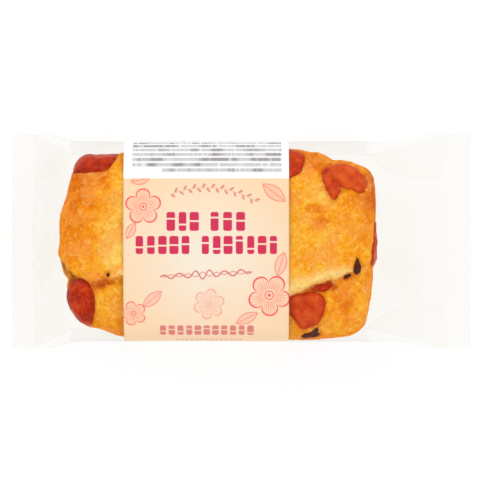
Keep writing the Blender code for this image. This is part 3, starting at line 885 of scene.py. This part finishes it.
def crustFinish():
    f = Finish("crust")
    look = {
        "pale": tone(247, 206, 98),
        "golden": tone(246, 172, 40),
        "amber": tone(238, 140, 20),
        "brown": tone(212, 98, 8),
        "crumb": tone(251, 216, 134),
        "juice": tone(184, 62, 10),
        # painted shade of that crevice, dark and lighter brown
        "crackShade": tone(108, 56, 14),
        "crackShadeLight": tone(204, 118, 30),
        "pinkTan": tone(244, 156, 66),
        "noises": {  # size, detail, roughness, seed
            "mottle": (0.0060, 4.0, 0.6, 0.0),
            "speckle": (0.0024, 3.0, 0.6, 3.0),
            "pores": (0.0011, 2.0, 0.6, 7.0),
            "flecks": (0.0021, 2.0, 0.5, 13.0),
            "veins": (0.0085, 3.0, 0.55, 9.0),
            "blush": (0.010, 2.0, 0.5, 5.0),
        },
        "browning": {"mottle": 0.48, "speckle": 0.70, "veins": 0.14},
        "strength": {"blush": 0.6, "crackShade": 0.92, "pores": 0.50, "flecks": 0.30},
        "relief": {"mottle": 0.5, "speckle": 0.5, "pores": 0.25},
        "bump": (0.65, 0.0012),  # strength and depth
    }
    where = f.place()
    noises = [f.noise(where, *kind) for kind in look["noises"].values()]
    mottle, speckle, pores, flecks, veins, blush = noises
    veins = abs(veins - 0.5).under(0.022, 0.05)
    part, strength, high = look["browning"], look["strength"], look["relief"]
    browned = f.value("browned") + (mottle - 0.5) * part["mottle"] + (speckle - 0.5) * part["speckle"]
    browned = browned + veins * part["veins"]
    crust = f.node("ShaderNodeValToRGB", {"stops": [
        (0.0, look["pale"]), (0.36, look["golden"]), (0.62, look["amber"]), (1.0, look["brown"]),
    ]}, {"Fac": browned})
    crust = f.mix((1 - blush.under(0.54, 0.14)) * strength["blush"], crust, look["pinkTan"])
    crust = f.mix(f.value("crumb") * (speckle * 1.5 + 0.05).least(1.0), crust, look["crumb"])
    crust = f.mix((f.value("stain") * (0.55 + speckle)).least(1.0), crust, look["juice"])
    # painted shade where the split runs out at the left end, mottled dark and lighter brown
    crackShading = f.mix(mottle.under(0.55, 0.25), look["crackShadeLight"], look["crackShade"])
    crust = f.mix(f.value("crackShade") * strength["crackShade"], crust, crackShading)
    crust = f.mix(pores.under(0.38, 0.10) * strength["pores"], crust, look["brown"])
    crust = f.mix((1 - flecks.under(0.62, 0.14)) * strength["flecks"], crust, look["crumb"])
    height = mottle * high["mottle"] + speckle * high["speckle"] + pores * high["pores"]
    return f.paint({
        "Base Color": crust,
        "Roughness": 0.60 + speckle * 0.25,
        "Normal": f.bump(height, *look["bump"]),
        "Subsurface Weight": 0.10,
        "Subsurface Radius": (0.003, 0.0016, 0.0006),
        "Subsurface Scale": 1.0,
        "Specular IOR Level": 0.04,
    })


# The fruit

inlay = {
    "lineSteps": 8,  # points between two corners of a fruit's outline
    "firstTurn": 0.05,
    "farthest": 0.044,  # how far from its start the crust is looked for
    "rimEvened": 16,
    "domePower": 0.7,
    "rimPower": 6,  # how close to the rim the lumps reach
    "filmGap": 0.0004,
}


def inlaidFruit(fruit, look, tree, seed):
    # one fruit let into the loaf: a pebble over its outline that follows the crust, with its rim in it
    line = closedLine(fruit["outline"], inlay["lineSteps"])
    middle = line.mean(axis=0)
    side = sides[fruit.get("side", "top")]
    start, aim, across, upward = [Vector(side[key]) for key in ("start", "aim", "across", "up")]
    turn = np.linspace(inlay["firstTurn"], math.pi / 2, look["rings"])
    shares = np.sin(turn)
    crust, outward = [], []
    for a, b in (middle + (line - middle) * shares[:, None, None]).reshape(-1, 2).tolist():
        source = start + across * a + upward * b
        hit, normal, _, _ = tree.ray_cast(source, aim)
        if hit is None or (hit - source).dot(aim) > inlay["farthest"]:
            hit, normal, _, _ = tree.find_nearest(source + aim * inlay["farthest"])
        crust.append(hit)
        outward.append(normal)
    shape = (len(shares), len(line), 3)
    crust, outward = np.array(crust).reshape(shape), np.array(outward).reshape(shape)
    level = evened = crust[-1] @ np.array(aim)
    for _ in range(inlay["rimEvened"]):
        evened = (np.roll(evened, 1) + 2 * evened + np.roll(evened, -1)) / 4
    crust[-1] += (evened - level)[:, None] * np.array(aim)
    for _ in range(fruit.get("evened", look["evened"])):
        around = np.roll(crust, 1, axis=1) + np.roll(crust, -1, axis=1)
        crust[1:-1] = (crust[:-2] + crust[2:] + around[1:-1]) / 4
        outward[1:-1] = (outward[:-2] + outward[2:]) / 2
        centre = crust[1].mean(axis=0)
        crust[0] = centre + (crust[1] - centre) * shares[0] / shares[1]
        outward[0] = outward[1].mean(axis=0)
    outward = outward + outward.mean(axis=(0, 1))
    outward /= np.linalg.norm(outward, axis=2, keepdims=True)
    grain = sum(noiseAt(crust, size, seed + size * 1000, 2) * height for size, height in look["lumps"])
    swell = np.cos(turn)[:, None] ** inlay["domePower"] * fruit["rise"]
    swell = swell + grain * (1 - shares ** inlay["rimPower"])[:, None] - look["rimDepth"]
    sink = np.cos(turn)[::-1][1:, None] * look["sink"] + look["rimDepth"]
    top = crust + outward * swell[..., None]
    below = crust[::-1][1:] - outward[::-1][1:] * sink[..., None]
    points = np.concatenate([top, below])
    rows, count = points.shape[:2]
    rim = np.concatenate([shares, np.ones(rows - len(shares))])
    return points.reshape(-1, 3), closedFaces(rows, count), np.repeat(rim, count)


def layFruit(name, fruits, look, tree, finish):
    # lets each fruit into the loaf and joins them into one piece
    allPoints, allFaces, tints, rims, total = [], [], [], [], 0
    for number, fruit in enumerate(fruits):
        points, faces, rim = inlaidFruit(fruit, look, tree, number * 5.0 + look["seed"])
        allFaces += [[i + total for i in face] for face in faces]
        allPoints.append(points)
        tints.append(np.full(len(points), fruit["tint"]))
        rims.append(rim)
        total += len(points)
    piece = meshFrom(name, keepInPack(np.concatenate(allPoints), inlay["filmGap"]), allFaces, finish)
    store(piece, "tint", np.concatenate(tints))
    store(piece, "rim", np.concatenate(rims))
    return piece


def cherryFinish():
    f = Finish("glaceCherry")
    look = {
        "deep": tone(116, 14, 4),
        "red": tone(186, 46, 10),
        "amber": tone(230, 98, 34),
        "sugar": tone(232, 128, 74),
        "noises": {  # size, detail, roughness, seed
            "clouds": (0.0050, 3.0, 0.6, 0.0),
            "grain": (0.0013, 2.0, 0.5, 2.0),
            "sugar": (0.0022, 2.0, 0.5, 8.0),
        },
        "uneven": {"clouds": 1.1, "grain": 0.45, "all": 0.04},  # how much each adds to a cherry's tint
        "rim": (5, 0.20),  # how close to the edge the painted shade round the rim lies, and how dark it is
        "sugared": 0.22,
        "relief": {"clouds": 0.6, "grain": 0.25},
        "bump": (0.35, 0.0008),  # strength and depth
    }
    where = f.place()
    clouds, grain, sugar = [f.noise(where, *kind) for kind in look["noises"].values()]
    uneven, high = look["uneven"], look["relief"]
    nearness, rimShade = look["rim"]
    part = f.value("tint") + (clouds - 0.5) * uneven["clouds"] + (grain - 0.5) * uneven["grain"]
    # painted shade: each cherry's tint darkens towards its rim
    part = part + uneven["all"] - f.value("rim") ** nearness * rimShade
    skin = f.node("ShaderNodeValToRGB", {"stops": [
        (0.0, look["deep"]), (0.45, look["red"]), (1.0, look["amber"]),
    ]}, {"Fac": part})
    skin = f.mix((1 - sugar.under(0.64, 0.20)) * look["sugared"], skin, look["sugar"])
    return f.paint({
        "Base Color": skin,
        "Roughness": 0.26 + grain * 0.16,
        "Normal": f.bump(clouds * high["clouds"] + grain * high["grain"], *look["bump"]),
        "Subsurface Weight": 0.15,
        "Subsurface Radius": (0.004, 0.001, 0.0005),
        "Subsurface Scale": 1.0,
        "Specular IOR Level": 0.08,
    })


def raisinFinish():
    f = Finish("raisin")
    look = {"dark": tone(36, 8, 8), "light": tone(104, 40, 18), "grain": (0.0012, 4.0, 0.6)}
    grain = f.noise(f.place(), *look["grain"])
    skin = f.mix(grain, look["dark"], look["light"])
    return f.paint({
        "Base Color": skin,
        "Roughness": 0.38 + grain * 0.2,
        "Specular IOR Level": 0.15,
        "Normal": f.bump(grain, 0.6, 0.0006),
    })


# The film

film = {
    "steps": {"crown": 46, "side": 18, "corner": 6, "floor": 14},
    "stations": (70, 48, 26, 24, 34, 74, 70),  # rings in each stretch, from left to right
    "ribs": 9,  # crimped ribs along each seal
    "ribHeight": 0.00012,
    "waist": 0.0004,  # how far it lies inside the label
    "labelEase": 0.0006,
    "lift": 0.0001,  # above the floor
    "crinkle": 0.0006,  # of the loose film, in pleats and crumples
    "pleats": {"stretch": (0.22, 1.0, 0.6), "wavelength": 0.0075, "share": 1.3},
    "crumples": {"wavelength": 0.017, "share": 1.2},
    "ripples": {"stretch": (1.0, 0.35, 1.0), "wavelength": 0.012, "height": 0.00022},  # over the loaf
    "sealEase": (-0.001, 0.0005),  # where the loose film's creases stop, from the seal's inner edge
    "foldEnds": ((-0.15, 0.2), (1.15, 0.8)),  # how each fold fades, as shares of its length
    "flatHeight": 0.0004,  # below which the film's base is kept flat
    "tuckDepth": (0.0010, 0.0060),  # depths of the fold at which the tucked tint starts and is full
    "tint": (0.984, 0.980, 0.964),  # what comes through one layer, seen square on
    "edgeTint": (0.885, 0.880, 0.855),  # and seen edge on
    "shine": 0.10,
    "mostShine": 0.035,
    "roughness": 0.07,
    "tuckedTint": (0.996, 0.995, 0.991),  # where the side walls are folded in
    "cutEdge": 0.0005,  # width of the line along each cut end
    "paintedShadow": [  # painted soft warm shadows of the loaf on the film: middle, half sizes, turn, strength
        (-0.0995, -0.0070, 0.0050, 0.0130, 0, 0.85),
        (-0.0975, 0.0330, 0.0050, 0.0100, 20, 0.18),
        (0.0800, -0.0120, 0.0110, 0.0080, -20, 0.60),
        (0.0860, -0.0240, 0.0050, 0.0090, 15, 0.42),
        (0.0870, 0.0150, 0.0080, 0.0140, 10, 0.14),
    ],
    # what comes through the film in the painted warm shadows
    "paintedShadowTint": (0.968, 0.945, 0.880),
    "paintedShadowEdge": {"wavelength": 0.006, "ragged": 0.003},
    "grain": (0.010, 3.0, 0.5),  # size, detail and roughness of its fine creases
    "bump": (0.25, 0.0012),
    "cutLine": 0.12,  # strength of the line along each cut end
    "edgePower": 3.5,  # how near to edge on the film has to be seen to darken
    "tuckedLess": {"edge": 0.85, "shine": 0.8},  # how much less of both the tucked walls have
    "index": 1.38,
}

# folds pulled into the upper wall: two ends on the plan, height, width
filmFolds = [
    (-0.1070, -0.0100, -0.1005, -0.0205, 0.0016, 0.0011),
    (-0.1065, 0.0290, -0.0930, 0.0320, 0.0008, 0.0014),
    (-0.1060, -0.0330, -0.0920, -0.0250, 0.0008, 0.0013),
    (0.0900, 0.0365, 0.1045, 0.0195, 0.0012, 0.0014),
    (0.0840, -0.0240, 0.1075, -0.0170, 0.0010, 0.0016),
    (0.0700, -0.0060, 0.0900, -0.0160, 0.0007, 0.0016),
    (0.0690, 0.0140, 0.0930, 0.0060, 0.0005, 0.0018),
    (0.0950, -0.0020, 0.1070, -0.0300, 0.0008, 0.0012),
    (-0.0812, 0.0445, -0.0806, 0.0480, 0.0006, 0.0010),  # small puckers beside the loaf
    (-0.0742, 0.0450, -0.0738, 0.0482, 0.0006, 0.0010),
    (-0.0702, 0.0448, -0.0698, 0.0486, 0.0007, 0.0010),
    (-0.0658, 0.0452, -0.0652, 0.0484, 0.0005, 0.0010),
]


def filmStations():
    # where the film's rings stand, closest in the seals
    keys = ("cut", "seal", "top")
    marks = [ends["left"][key] for key in keys] + [labelLow.x, labelHigh.x]
    marks += [ends["right"][key] for key in reversed(keys)]
    stretches = zip(marks[:-1], marks[1:], film["stations"])
    x = [np.linspace(first, last, count, endpoint=False) for first, last, count in stretches]
    return np.concatenate([*x, marks[-1:]])


def foldHeight(x, y, fold):
    startX, startY, stopX, stopY, height, wide = fold
    length = math.hypot(stopX - startX, stopY - startY)
    alongX, alongY = (stopX - startX) / length, (stopY - startY) / length
    along = ((x - startX) * alongX + (y - startY) * alongY) / length
    beside = (y - startY) * alongX - (x - startX) * alongY
    near, far = film["foldEnds"]
    fade = smooth(share(along, *near)) * smooth(share(along, *far))
    return height * fade * np.exp(-(beside / wide) ** 2)


def makeFilm(finish):
    x = filmStations()
    rings = packSkin(x, film["steps"])
    out = outwardOf(rings)
    size = sizesAt(x)
    steps = film["steps"]
    count = rings.shape[1]
    upper = np.zeros(count, bool)
    upper[: steps["crown"] + 1] = True
    upper[-steps["crown"]:] = True
    loose = smooth(size["loose"])[:, None]
    before, after = film["sealEase"]
    sealed = share(abs(x), ends["right"]["seal"] + before, ends["right"]["seal"] + after)[:, None]
    pleats, crumples, ripples = film["pleats"], film["crumples"], film["ripples"]
    creased = pleats["share"] * noiseAt(rings * pleats["stretch"], pleats["wavelength"], 21, 3)
    creased += crumples["share"] * noiseAt(rings, crumples["wavelength"], 22, 2)
    move = film["crinkle"] * loose * (1 - sealed) * creased
    rippled = noiseAt(rings * ripples["stretch"], ripples["wavelength"], 23, 2)
    move += ripples["height"] * (1 - loose) * rippled
    folds = sum(foldHeight(rings[..., 0], rings[..., 1], fold) for fold in filmFolds)
    move += folds * upper[None, :] * (1 - sealed)
    ease = film["labelEase"]
    underLabel = share(x, labelLow.x - ease, labelLow.x + ease)
    underLabel = (underLabel * share(x, labelHigh.x + ease, labelHigh.x - ease))[:, None]
    move = mixed(move, -film["waist"], underLabel)
    flatBase = (rings[..., 2] < film["flatHeight"]) & (abs(out[..., 2]) > 0.9)
    move = np.where(flatBase & (underLabel == 0), -film["lift"], move)
    inSeal = share(abs(x), ends["right"]["seal"], ends["right"]["cut"])
    ribs = film["ribHeight"] * np.sin(inSeal * math.pi * 2 * film["ribs"]) * (inSeal > 0) * (inSeal < 1)
    points = rings + out * move[..., None]
    points[..., 2] += ribs[:, None]
    points[..., 2] = np.maximum(points[..., 2], film["lift"])
    piece = meshFrom("clearFilm", points, closedFaces(len(x), count), finish)
    wall = np.zeros(count, bool)
    wall[steps["crown"]: steps["crown"] + steps["side"] + 1] = True
    wall[-steps["crown"] - steps["side"]: -steps["crown"] + 1] = True
    store(piece, "tucked", smooth(share(size["tuck"], *film["tuckDepth"]))[:, None] * wall)
    # painted warm shadow of the loaf, in soft patches on the film past its ends
    paintedShadow = np.zeros(points.shape[:2])
    edge = film["paintedShadowEdge"]
    ragged = points + edge["ragged"] * noiseAt(points, edge["wavelength"], 24, 3)[..., None]
    for spot in film["paintedShadow"]:
        paintedShadow = np.maximum(paintedShadow, spot[5] * smooth(ellipseAt(ragged[..., 0], ragged[..., 1], spot)))
    store(piece, "paintedShadow", paintedShadow * upper)
    return piece


def filmFinish():
    f = Finish("clearFilm")
    where = f.place()
    bump = f.bump(f.noise(where, *film["grain"]), *film["bump"])
    clear, edgeOn, tuckedIn, paintedShadowLayer = [
        f.node("ShaderNodeBsdfTransparent", {}, {"Color": (*film[tint], 1.0)})
        for tint in ("tint", "edgeTint", "tuckedTint", "paintedShadowTint")
    ]
    tucked = f.value("tucked")
    x = f.node("ShaderNodeSeparateXYZ", {}, {"Vector": where})
    cut = (1 - abs(x).under(pack["halfLength"] - film["cutEdge"], 0.0002)) * film["cutLine"]
    glossy = {"Roughness": film["roughness"], "Color": (1, 1, 1, 1), "Normal": bump}
    gloss = f.node("ShaderNodeBsdfGlossy", {}, glossy)
    facing = f.node("ShaderNodeLayerWeight", {}, {"Blend": 0.5}, out="Facing")
    # painted warm shadow: a warmer, dimmer layer in those patches
    skin = f.blend(f.value("paintedShadow"), clear, paintedShadowLayer)
    skin = f.blend(tucked, skin, tuckedIn)
    less = film["tuckedLess"]
    turned = (facing ** film["edgePower"] * (1 - tucked * less["edge"])).most(cut)
    skin = f.blend(turned, skin, edgeOn)
    shine = f.node("ShaderNodeFresnel", {}, {"IOR": film["index"], "Normal": bump})
    shown = (shine * film["shine"]).least(film["mostShine"]) * (1 - tucked * less["shine"])
    return f.show(f.blend(shown, skin, gloss))


# The label

label = {
    "steps": {"crown": 60, "side": 14, "corner": 6, "floor": 10},
    "thickness": 0.00016,
    "stations": 70,
    "sag": {  # soft dips in all but its base
        "stretch": (0.6, 1.0, 1.0), "wavelength": 0.030, "depth": 0.00030, "above": 0.002,
    },
}

# The print, in millimetres: x from the label's middle, v round the pack from the middle of the crown
printed = {
    "whiteFrom": 31.8,
    "smallRows": {
        "pitch": 2.9, "first": 36.1, "margin": 1.4, "left": -37.2, "right": 37.8, "indent": 15.0,
        "noises": [  # stretch along a row, step from row to row, start, detail, roughness
            (0.85, 13.7, 0, 3.0, 0.75),
            (0.10, 5.3, 40, 1.0, 0.5),
        ],
    },
    "blockRows": [  # left, right, low, high, blocks, strength
        (-20.6, -3.0, 5.3, 14.8, 3, 1.0),
        (1.0, 20.5, 5.3, 14.8, 3, 1.0),
        (-36.3, -7.4, -6.3, 2.8, 5, 1.0),
        (-3.2, 36.5, -6.3, 2.8, 7, 1.0),
        (-24.0, 24.4, -48.9, -42.9, 11, 0.72),
        (-16.0, 18.6, -54.0, -52.6, 14, 0.55),
    ],
    "block": {
        "corner": 1.1, "cornerShare": 0.3, "width": (0.31, 0.10), "cut": (0.25, 0.5), "cutHalf": 0.045,
    },
    "garland": {
        "middleV": -22.0, "radius": 49.0, "firstCell": -8, "lastCell": 11, "pitch": 2.3,
        "beside": 1.15, "lean": 48, "halfLength": 1.35, "halfWidth": 0.62, "stem": 0.16,
        "stemStrength": 0.7,
    },
    "flourish": {"left": -23.0, "right": 23.0, "middleV": -16.4, "slope": 0.05, "wave": 7.7},
    "blossoms": [  # middle x and v, size, petals, turn, strength
        (-31.5, 17.5, 9.0, 5, 0.3, 0.95),
        (31.6, -27.0, 10.6, 5, 0.9, 0.95),
        (1.4, -31.6, 7.8, 6, 0.2, 0.50),
        (-36.5, -36.5, 6.4, 5, 0.0, 0.85),
    ],
    "leaves": [  # middle x and v, half length, half width, turn
        (-37.7, 5.4, 4.6, 2.1, 62), (-33.0, 31.0, 5.0, 2.2, 12), (34.0, 24.5, 7.2, 3.2, -38),
        (20.4, -39.0, 6.2, 2.6, 28), (37.4, -11.4, 6.4, 2.8, 74), (-27.0, -29.0, 6.2, 2.6, -140),
    ],
    "crimson": tone(207, 44, 84),
    "softRed": tone(240, 84, 92),
    "grey": tone(126, 119, 127),
    "white": tone(253, 252, 252),
    "peachEdge": tone(244, 209, 170),
    "peachMiddle": tone(238, 226, 207),
    "middle": {"v": -8, "halfX": 46, "halfV": 42, "edge": (0.62, 0.9)},  # where the ground is palest
    "clouds": {"noise": (0.016, 3.0, 0.6), "edge": (0.45, 0.25), "strength": 0.35},
    "strength": {"leaves": 0.85, "garland": 0.62, "flourish": 0.80},
    "finish": {"Roughness": 0.42, "Specular IOR Level": 0.30},
}


def makeLabel(finish):
    x = np.linspace(labelLow.x, labelHigh.x, label["stations"])
    rings = packSkin(x, label["steps"])
    out = outwardOf(rings)
    sag = label["sag"]
    sunk = sag["depth"] * noiseAt(rings * sag["stretch"], sag["wavelength"], 31, 2)
    sunk = np.minimum(sunk, 0) * (rings[..., 2] > sag["above"])
    outer = rings + out * sunk[..., None]
    inner = outer - out * label["thickness"]
    both = np.concatenate([outer, inner[::-1]])
    piece = meshFrom("labelBand", both, gridFaces(len(both), rings.shape[1], joinEnds=True), finish)
    ring = rings[len(x) // 2]
    gaps = np.linalg.norm(np.diff(ring, axis=0, append=ring[:1]), axis=1)
    reach = np.concatenate([[0], np.cumsum(gaps)[:-1]])
    half = gaps.sum() / 2
    reach = np.where(reach > half, reach - 2 * half, reach)
    store(piece, "round", np.broadcast_to(reach * 1000, both.shape[:2]))
    return piece


def labelFinish():
    f = Finish("printedLabel")
    p = printed
    parts = f.node("ShaderNodeSeparateXYZ", {}, {"Vector": f.place()})
    x = (parts - (labelLow.x + labelHigh.x) / 2) * 1000
    v = f.value("round")
    middle, clouds, strengths = p["middle"], p["clouds"], p["strength"]
    away = ((x / middle["halfX"]) ** 2 + ((v - middle["v"]) / middle["halfV"]) ** 2) ** 0.5
    ground = f.mix(away.under(*middle["edge"]), p["peachEdge"], p["peachMiddle"])
    cloudy = f.noise(f.place(), *clouds["noise"]).under(*clouds["edge"])
    ground = f.mix(cloudy * clouds["strength"], ground, p["peachEdge"])
    drawn = blossom(x, v, *p["blossoms"][0])
    for flower in p["blossoms"][1:]:
        drawn = drawn.most(blossom(x, v, *flower))
    for sprig in p["leaves"]:
        drawn = drawn.most(leaf(x, v, *sprig) * strengths["leaves"])
    ground = f.mix(drawn, ground, p["softRed"])
    ground = f.mix(1 - v.under(p["whiteFrom"], 0.25), ground, p["white"])
    ground = f.mix(smallRows(f, x, v), ground, p["grey"])
    ink = garland(x, v) * strengths["garland"]
    ink = ink.most(flourish(x, v) * strengths["flourish"])
    for number, (*sizes, strength) in enumerate(p["blockRows"]):
        ink = ink.most(blockRow(f, x, v, *sizes, number * 20.0) * strength)
    ground = f.mix(ink, ground, p["crimson"])
    return f.paint({"Base Color": ground, **p["finish"]})


def boxMask(x, v, left, right, low, high, soft=0.25):
    beside = abs(x - (left + right) / 2) - (right - left) / 2
    above = abs(v - (low + high) / 2) - (high - low) / 2
    return beside.most(above).under(0.0, soft)


def blockRow(f, x, v, left, right, low, high, count, seed):
    # a row of upright blocks of uneven width with round corners, each cut across at its own height
    form = printed["block"]
    pitch, tall = (right - left) / count, high - low
    radius = min(form["corner"], tall * form["cornerShare"])
    cell = (x - left) / pitch
    number = cell.floor()
    uneven = f.chance(number + seed)
    lowest, span = form["cut"]
    least, more = form["width"]
    cutAt = f.chance(number + seed + 7.5) * span + lowest
    beside = abs(cell - number - 0.5) * pitch - (uneven * more + least) * pitch + radius
    above = abs(v - (low + high) / 2) - tall / 2 + radius
    rounded = (beside.most(0.0) ** 2 + above.most(0.0) ** 2) ** 0.5 - radius
    cut = abs(v - low - cutAt * tall).under(tall * form["cutHalf"], 0.3)
    return rounded.under(0.0, 0.35) * (1 - cut) * boxMask(x, v, left, right, low - 1, high + 1)


def smallRows(f, x, v):
    # broken grey rows of uneven darkness, like small print too small to read
    rows = printed["smallRows"]
    row = (v - rows["first"]) / rows["pitch"]
    number = (row + 0.5).floor()
    marks, bold = [
        f.node("ShaderNodeTexNoise", {"noise_dimensions": "2D"}, {
            "Vector": f.node("ShaderNodeCombineXYZ", {}, {"X": x * stretch, "Y": number * step + start}),
            "Scale": 1.0,
            "Detail": detail,
            "Roughness": roughness,
        })
        for stretch, step, start, detail, roughness in rows["noises"]
    ]
    dark = 0.86 - bold.under(0.56, 0.12) * 0.32
    start = number.under(0.5, 0.01) * rows["indent"] + rows["left"]
    inside = (start - x).under(0.0, 0.3) * x.under(rows["right"], 0.3)
    inside = inside * (rows["first"] - rows["margin"] - v).under(0.0, 0.1)
    return abs(row - number).under(0.34, 0.26) * marks.under(0.66, 0.22) * inside * dark


def garland(x, v):
    # an arc of small leaves, one above and one below its stem in turn
    g = printed["garland"]
    rise = v - g["middleV"]
    angle = x.angleFrom(rise)
    out = (x ** 2 + rise ** 2) ** 0.5 - g["radius"]
    cell = angle * g["radius"] / g["pitch"]
    number = cell.floor()
    side = (number / 2 - (number / 2).floor()) * 4 - 1
    along = (cell - number - 0.5) * g["pitch"]
    beyond = out * side - g["beside"]
    lean = math.radians(g["lean"])
    length = along * math.cos(lean) + beyond * math.sin(lean)
    width = beyond * math.cos(lean) - along * math.sin(lean)
    leaves = ((length / g["halfLength"]) ** 2 + (width / g["halfWidth"]) ** 2).under(1.0, 0.5)
    stem = abs(out).under(g["stem"], 0.3) * g["stemStrength"]
    beforeFirst = number.under(g["firstCell"] - 0.5, 0.01)
    return leaves.most(stem) * (number.under(g["lastCell"] + 0.5, 0.01) - beforeFirst)


def flourish(x, v):
    # two pen lines that wave round each other, one bold and one fine
    line = printed["flourish"]
    middle = x * line["slope"] + line["middleV"]
    taper = (1 - (x / line["right"]) ** 4) * ((x * 0.31 + 2).sine() * 0.25 + 0.80)
    turn = x * (2 * math.pi / line["wave"]) + (x * 0.21).sine() * 0.4
    slope = (turn + math.pi / 2).sine()
    ink = None
    for height, thick in ((2.1, 0.36), (-1.1, 0.20)):
        gap = abs(v - middle - turn.sine() * taper * height)
        steep = ((slope * taper * (height * 2 * math.pi / line["wave"])) ** 2 + 1) ** 0.5
        stroke = (gap / steep).under(thick, 0.35)
        ink = stroke if ink is None else ink.most(stroke)
    return ink * boxMask(x, v, line["left"], line["right"], line["middleV"] - 9, line["middleV"] + 9)


def blossom(x, v, middleX, middleV, size, petals, turn, strength):
    # a plain flower in pen strokes: rounded petals with fine lines from a round eye
    dx, dv = x - middleX, v - middleV
    out = (dx * dx + dv * dv) ** 0.5
    angle = dv.angleFrom(dx) + turn
    lobe = abs((angle * (petals / 2)).sine())
    edge = lobe ** 0.55 * (size * 0.44) + size * 0.54
    rim = abs(out - edge).under(size * 0.035 + 0.14, 0.35)
    fade = (out / edge).under(0.80, 0.5)
    lines = abs((angle * (petals * 3.5)).sine()).under(0.55, 0.5) * (out - edge).under(0.0, 0.3) * fade
    lines = lines * (size * 0.30 - out).under(0.0, 0.4)
    shade = (out - edge).under(0.0, 0.3) * 0.10
    eye = abs(out - size * 0.20).under(0.30, 0.35).most(out.under(size * 0.08, 0.3))
    return rim.most(lines * 0.85).most(eye).most(shade) * strength


def leaf(x, v, middleX, middleV, half, wide, turn):
    # a pointed leaf in pen strokes, with a middle rib and side veins
    dx, dv = x - middleX, v - middleV
    turn = math.radians(turn)
    along = dx * math.cos(turn) + dv * math.sin(turn)
    across = abs(dv * math.cos(turn) - dx * math.sin(turn))
    edge = (1 - (along / half) ** 2).most(0.0) * wide
    inside = (across - edge).under(0.0, 0.3) * abs(along).under(half, 0.3)
    rim = abs(across - edge).under(0.24, 0.35) * abs(along).under(half, 0.4)
    rib = across.under(0.20, 0.3) * abs(along).under(half, 0.3)
    veins = abs(((along - across * 0.9) * 2.6).sine()).under(0.42, 0.5) * inside
    return rim.most(rib).most(veins * 0.65).most(inside * 0.14)


# Everything together

crust = crustFinish()
loafPiece, loafTree = makeLoaf(crust)
print("loaf made")

cherryLook = {
    "rings": 15,
    "sink": 0.0026,  # how deep its underside is in the loaf
    "rimDepth": 0.0003,
    "evened": 8,
    "seed": 1.0,
    "lumps": ((0.0060, 0.00060), (0.0022, 0.00025)),  # wavelength and height
}
raisinLook = {
    "rings": 10,
    "sink": 0.0015,
    "rimDepth": 0.0002,
    "evened": 4,
    "seed": 50.0,
    "lumps": ((0.0020, 0.00045), (0.0010, 0.00020)),
}
allCherries = [*cherries.values(), *wallCherries]
allRaisins = [*raisins.values(), *wallRaisins]
cherryPiece = layFruit("cherries", allCherries, cherryLook, loafTree, cherryFinish())
raisinPiece = layFruit("raisins", allRaisins, raisinLook, loafTree, raisinFinish())
print("fruit laid")

filmPiece = makeFilm(filmFinish())
labelPiece = makeLabel(labelFinish())
print("film and label made")

for piece in (loafPiece, cherryPiece, raisinPiece, filmPiece, labelPiece):
    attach(piece, "root")
for piece in (loafPiece, cherryPiece, raisinPiece):
    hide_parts("loaf")
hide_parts("film_pack")
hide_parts("label_band")


# Floor, light and camera

studio = {
    "floorSize": 6.0,
    "floorDrop": 0.0003,
    "floorShade": 0.10,
    "floorGlow": 0.90,
    "skyLow": 0.92,  # brightness all round
    "skyHigh": 0.35,  # brightness overhead
    "skyTurn": (0.93, 0.12),  # how far up the one gives way to the other, and how softly
    "lamps": [  # place, size, watts
        ((-0.8, 0.9, 1.1), 0.7, 5.2),
        ((0.9, 0.4, 1.3), 0.7, 3.9),
        ((0.1, -1.2, 0.8), 0.7, 1.8),
    ],
    "cameraHeight": 1.2,
    "lens": 170.7,
    "sensor": 36,
}


def makeFloor():
    mesh = bpy.data.meshes.new("floor")
    half = studio["floorSize"] / 2
    corners = [(-half, -half, 0), (half, -half, 0), (half, half, 0), (-half, half, 0)]
    mesh.from_pydata(corners, [], [(0, 1, 2, 3)])
    floor = bpy.data.objects.new("floor", mesh)
    floor.location.z = -studio["floorDrop"]
    bpy.context.scene.collection.objects.link(floor)
    f = Finish("paleFloor")
    shade = studio["floorShade"]
    mesh.materials.append(f.paint({
        "Base Color": (shade, shade, shade, 1), "Roughness": 0.9, "Specular IOR Level": 0.1,
        "Emission Color": (1, 1, 1, 1), "Emission Strength": studio["floorGlow"],
    }))


def makeSky():
    # a pale sky that is dim only overhead, so that the film stays clear from above
    world = bpy.data.worlds.new("sky")
    bpy.context.scene.world = world
    world.use_nodes = True
    tree = world.node_tree
    tree.nodes.clear()
    where = Wire(tree.nodes.new("ShaderNodeTexCoord").outputs["Generated"])
    parts = tree.nodes.new("ShaderNodeSeparateXYZ")
    connect(parts.inputs[0], where)
    low = Wire(parts.outputs["Z"]).under(*studio["skyTurn"])
    back = tree.nodes.new("ShaderNodeBackground")
    connect(back.inputs["Strength"], low * (studio["skyLow"] - studio["skyHigh"]) + studio["skyHigh"])
    back.inputs["Color"].default_value = (1, 1, 1, 1)
    end = tree.nodes.new("ShaderNodeOutputWorld")
    tree.links.new(back.outputs[0], end.inputs["Surface"])


def makeLamps():
    for number, (place, size, watts) in enumerate(studio["lamps"]):
        lamp = bpy.data.lights.new(f"softbox{number}", "AREA")
        lamp.size = size
        lamp.energy = watts
        holder = bpy.data.objects.new(f"softbox{number}", lamp)
        holder.location = place
        holder.rotation_euler = (-Vector(place)).to_track_quat("-Z", "Y").to_euler()
        bpy.context.scene.collection.objects.link(holder)


def makeCamera():
    data = bpy.data.cameras.new("fromAbove")
    data.lens = studio["lens"]
    data.sensor_width = studio["sensor"]
    camera = bpy.data.objects.new("fromAbove", data)
    camera.location = (0, 0, studio["cameraHeight"])
    bpy.context.scene.collection.objects.link(camera)
    bpy.context.scene.camera = camera


makeFloor()
makeSky()
makeLamps()
makeCamera()
bpy.context.scene.view_settings.view_transform = "Standard"
print("studio made")
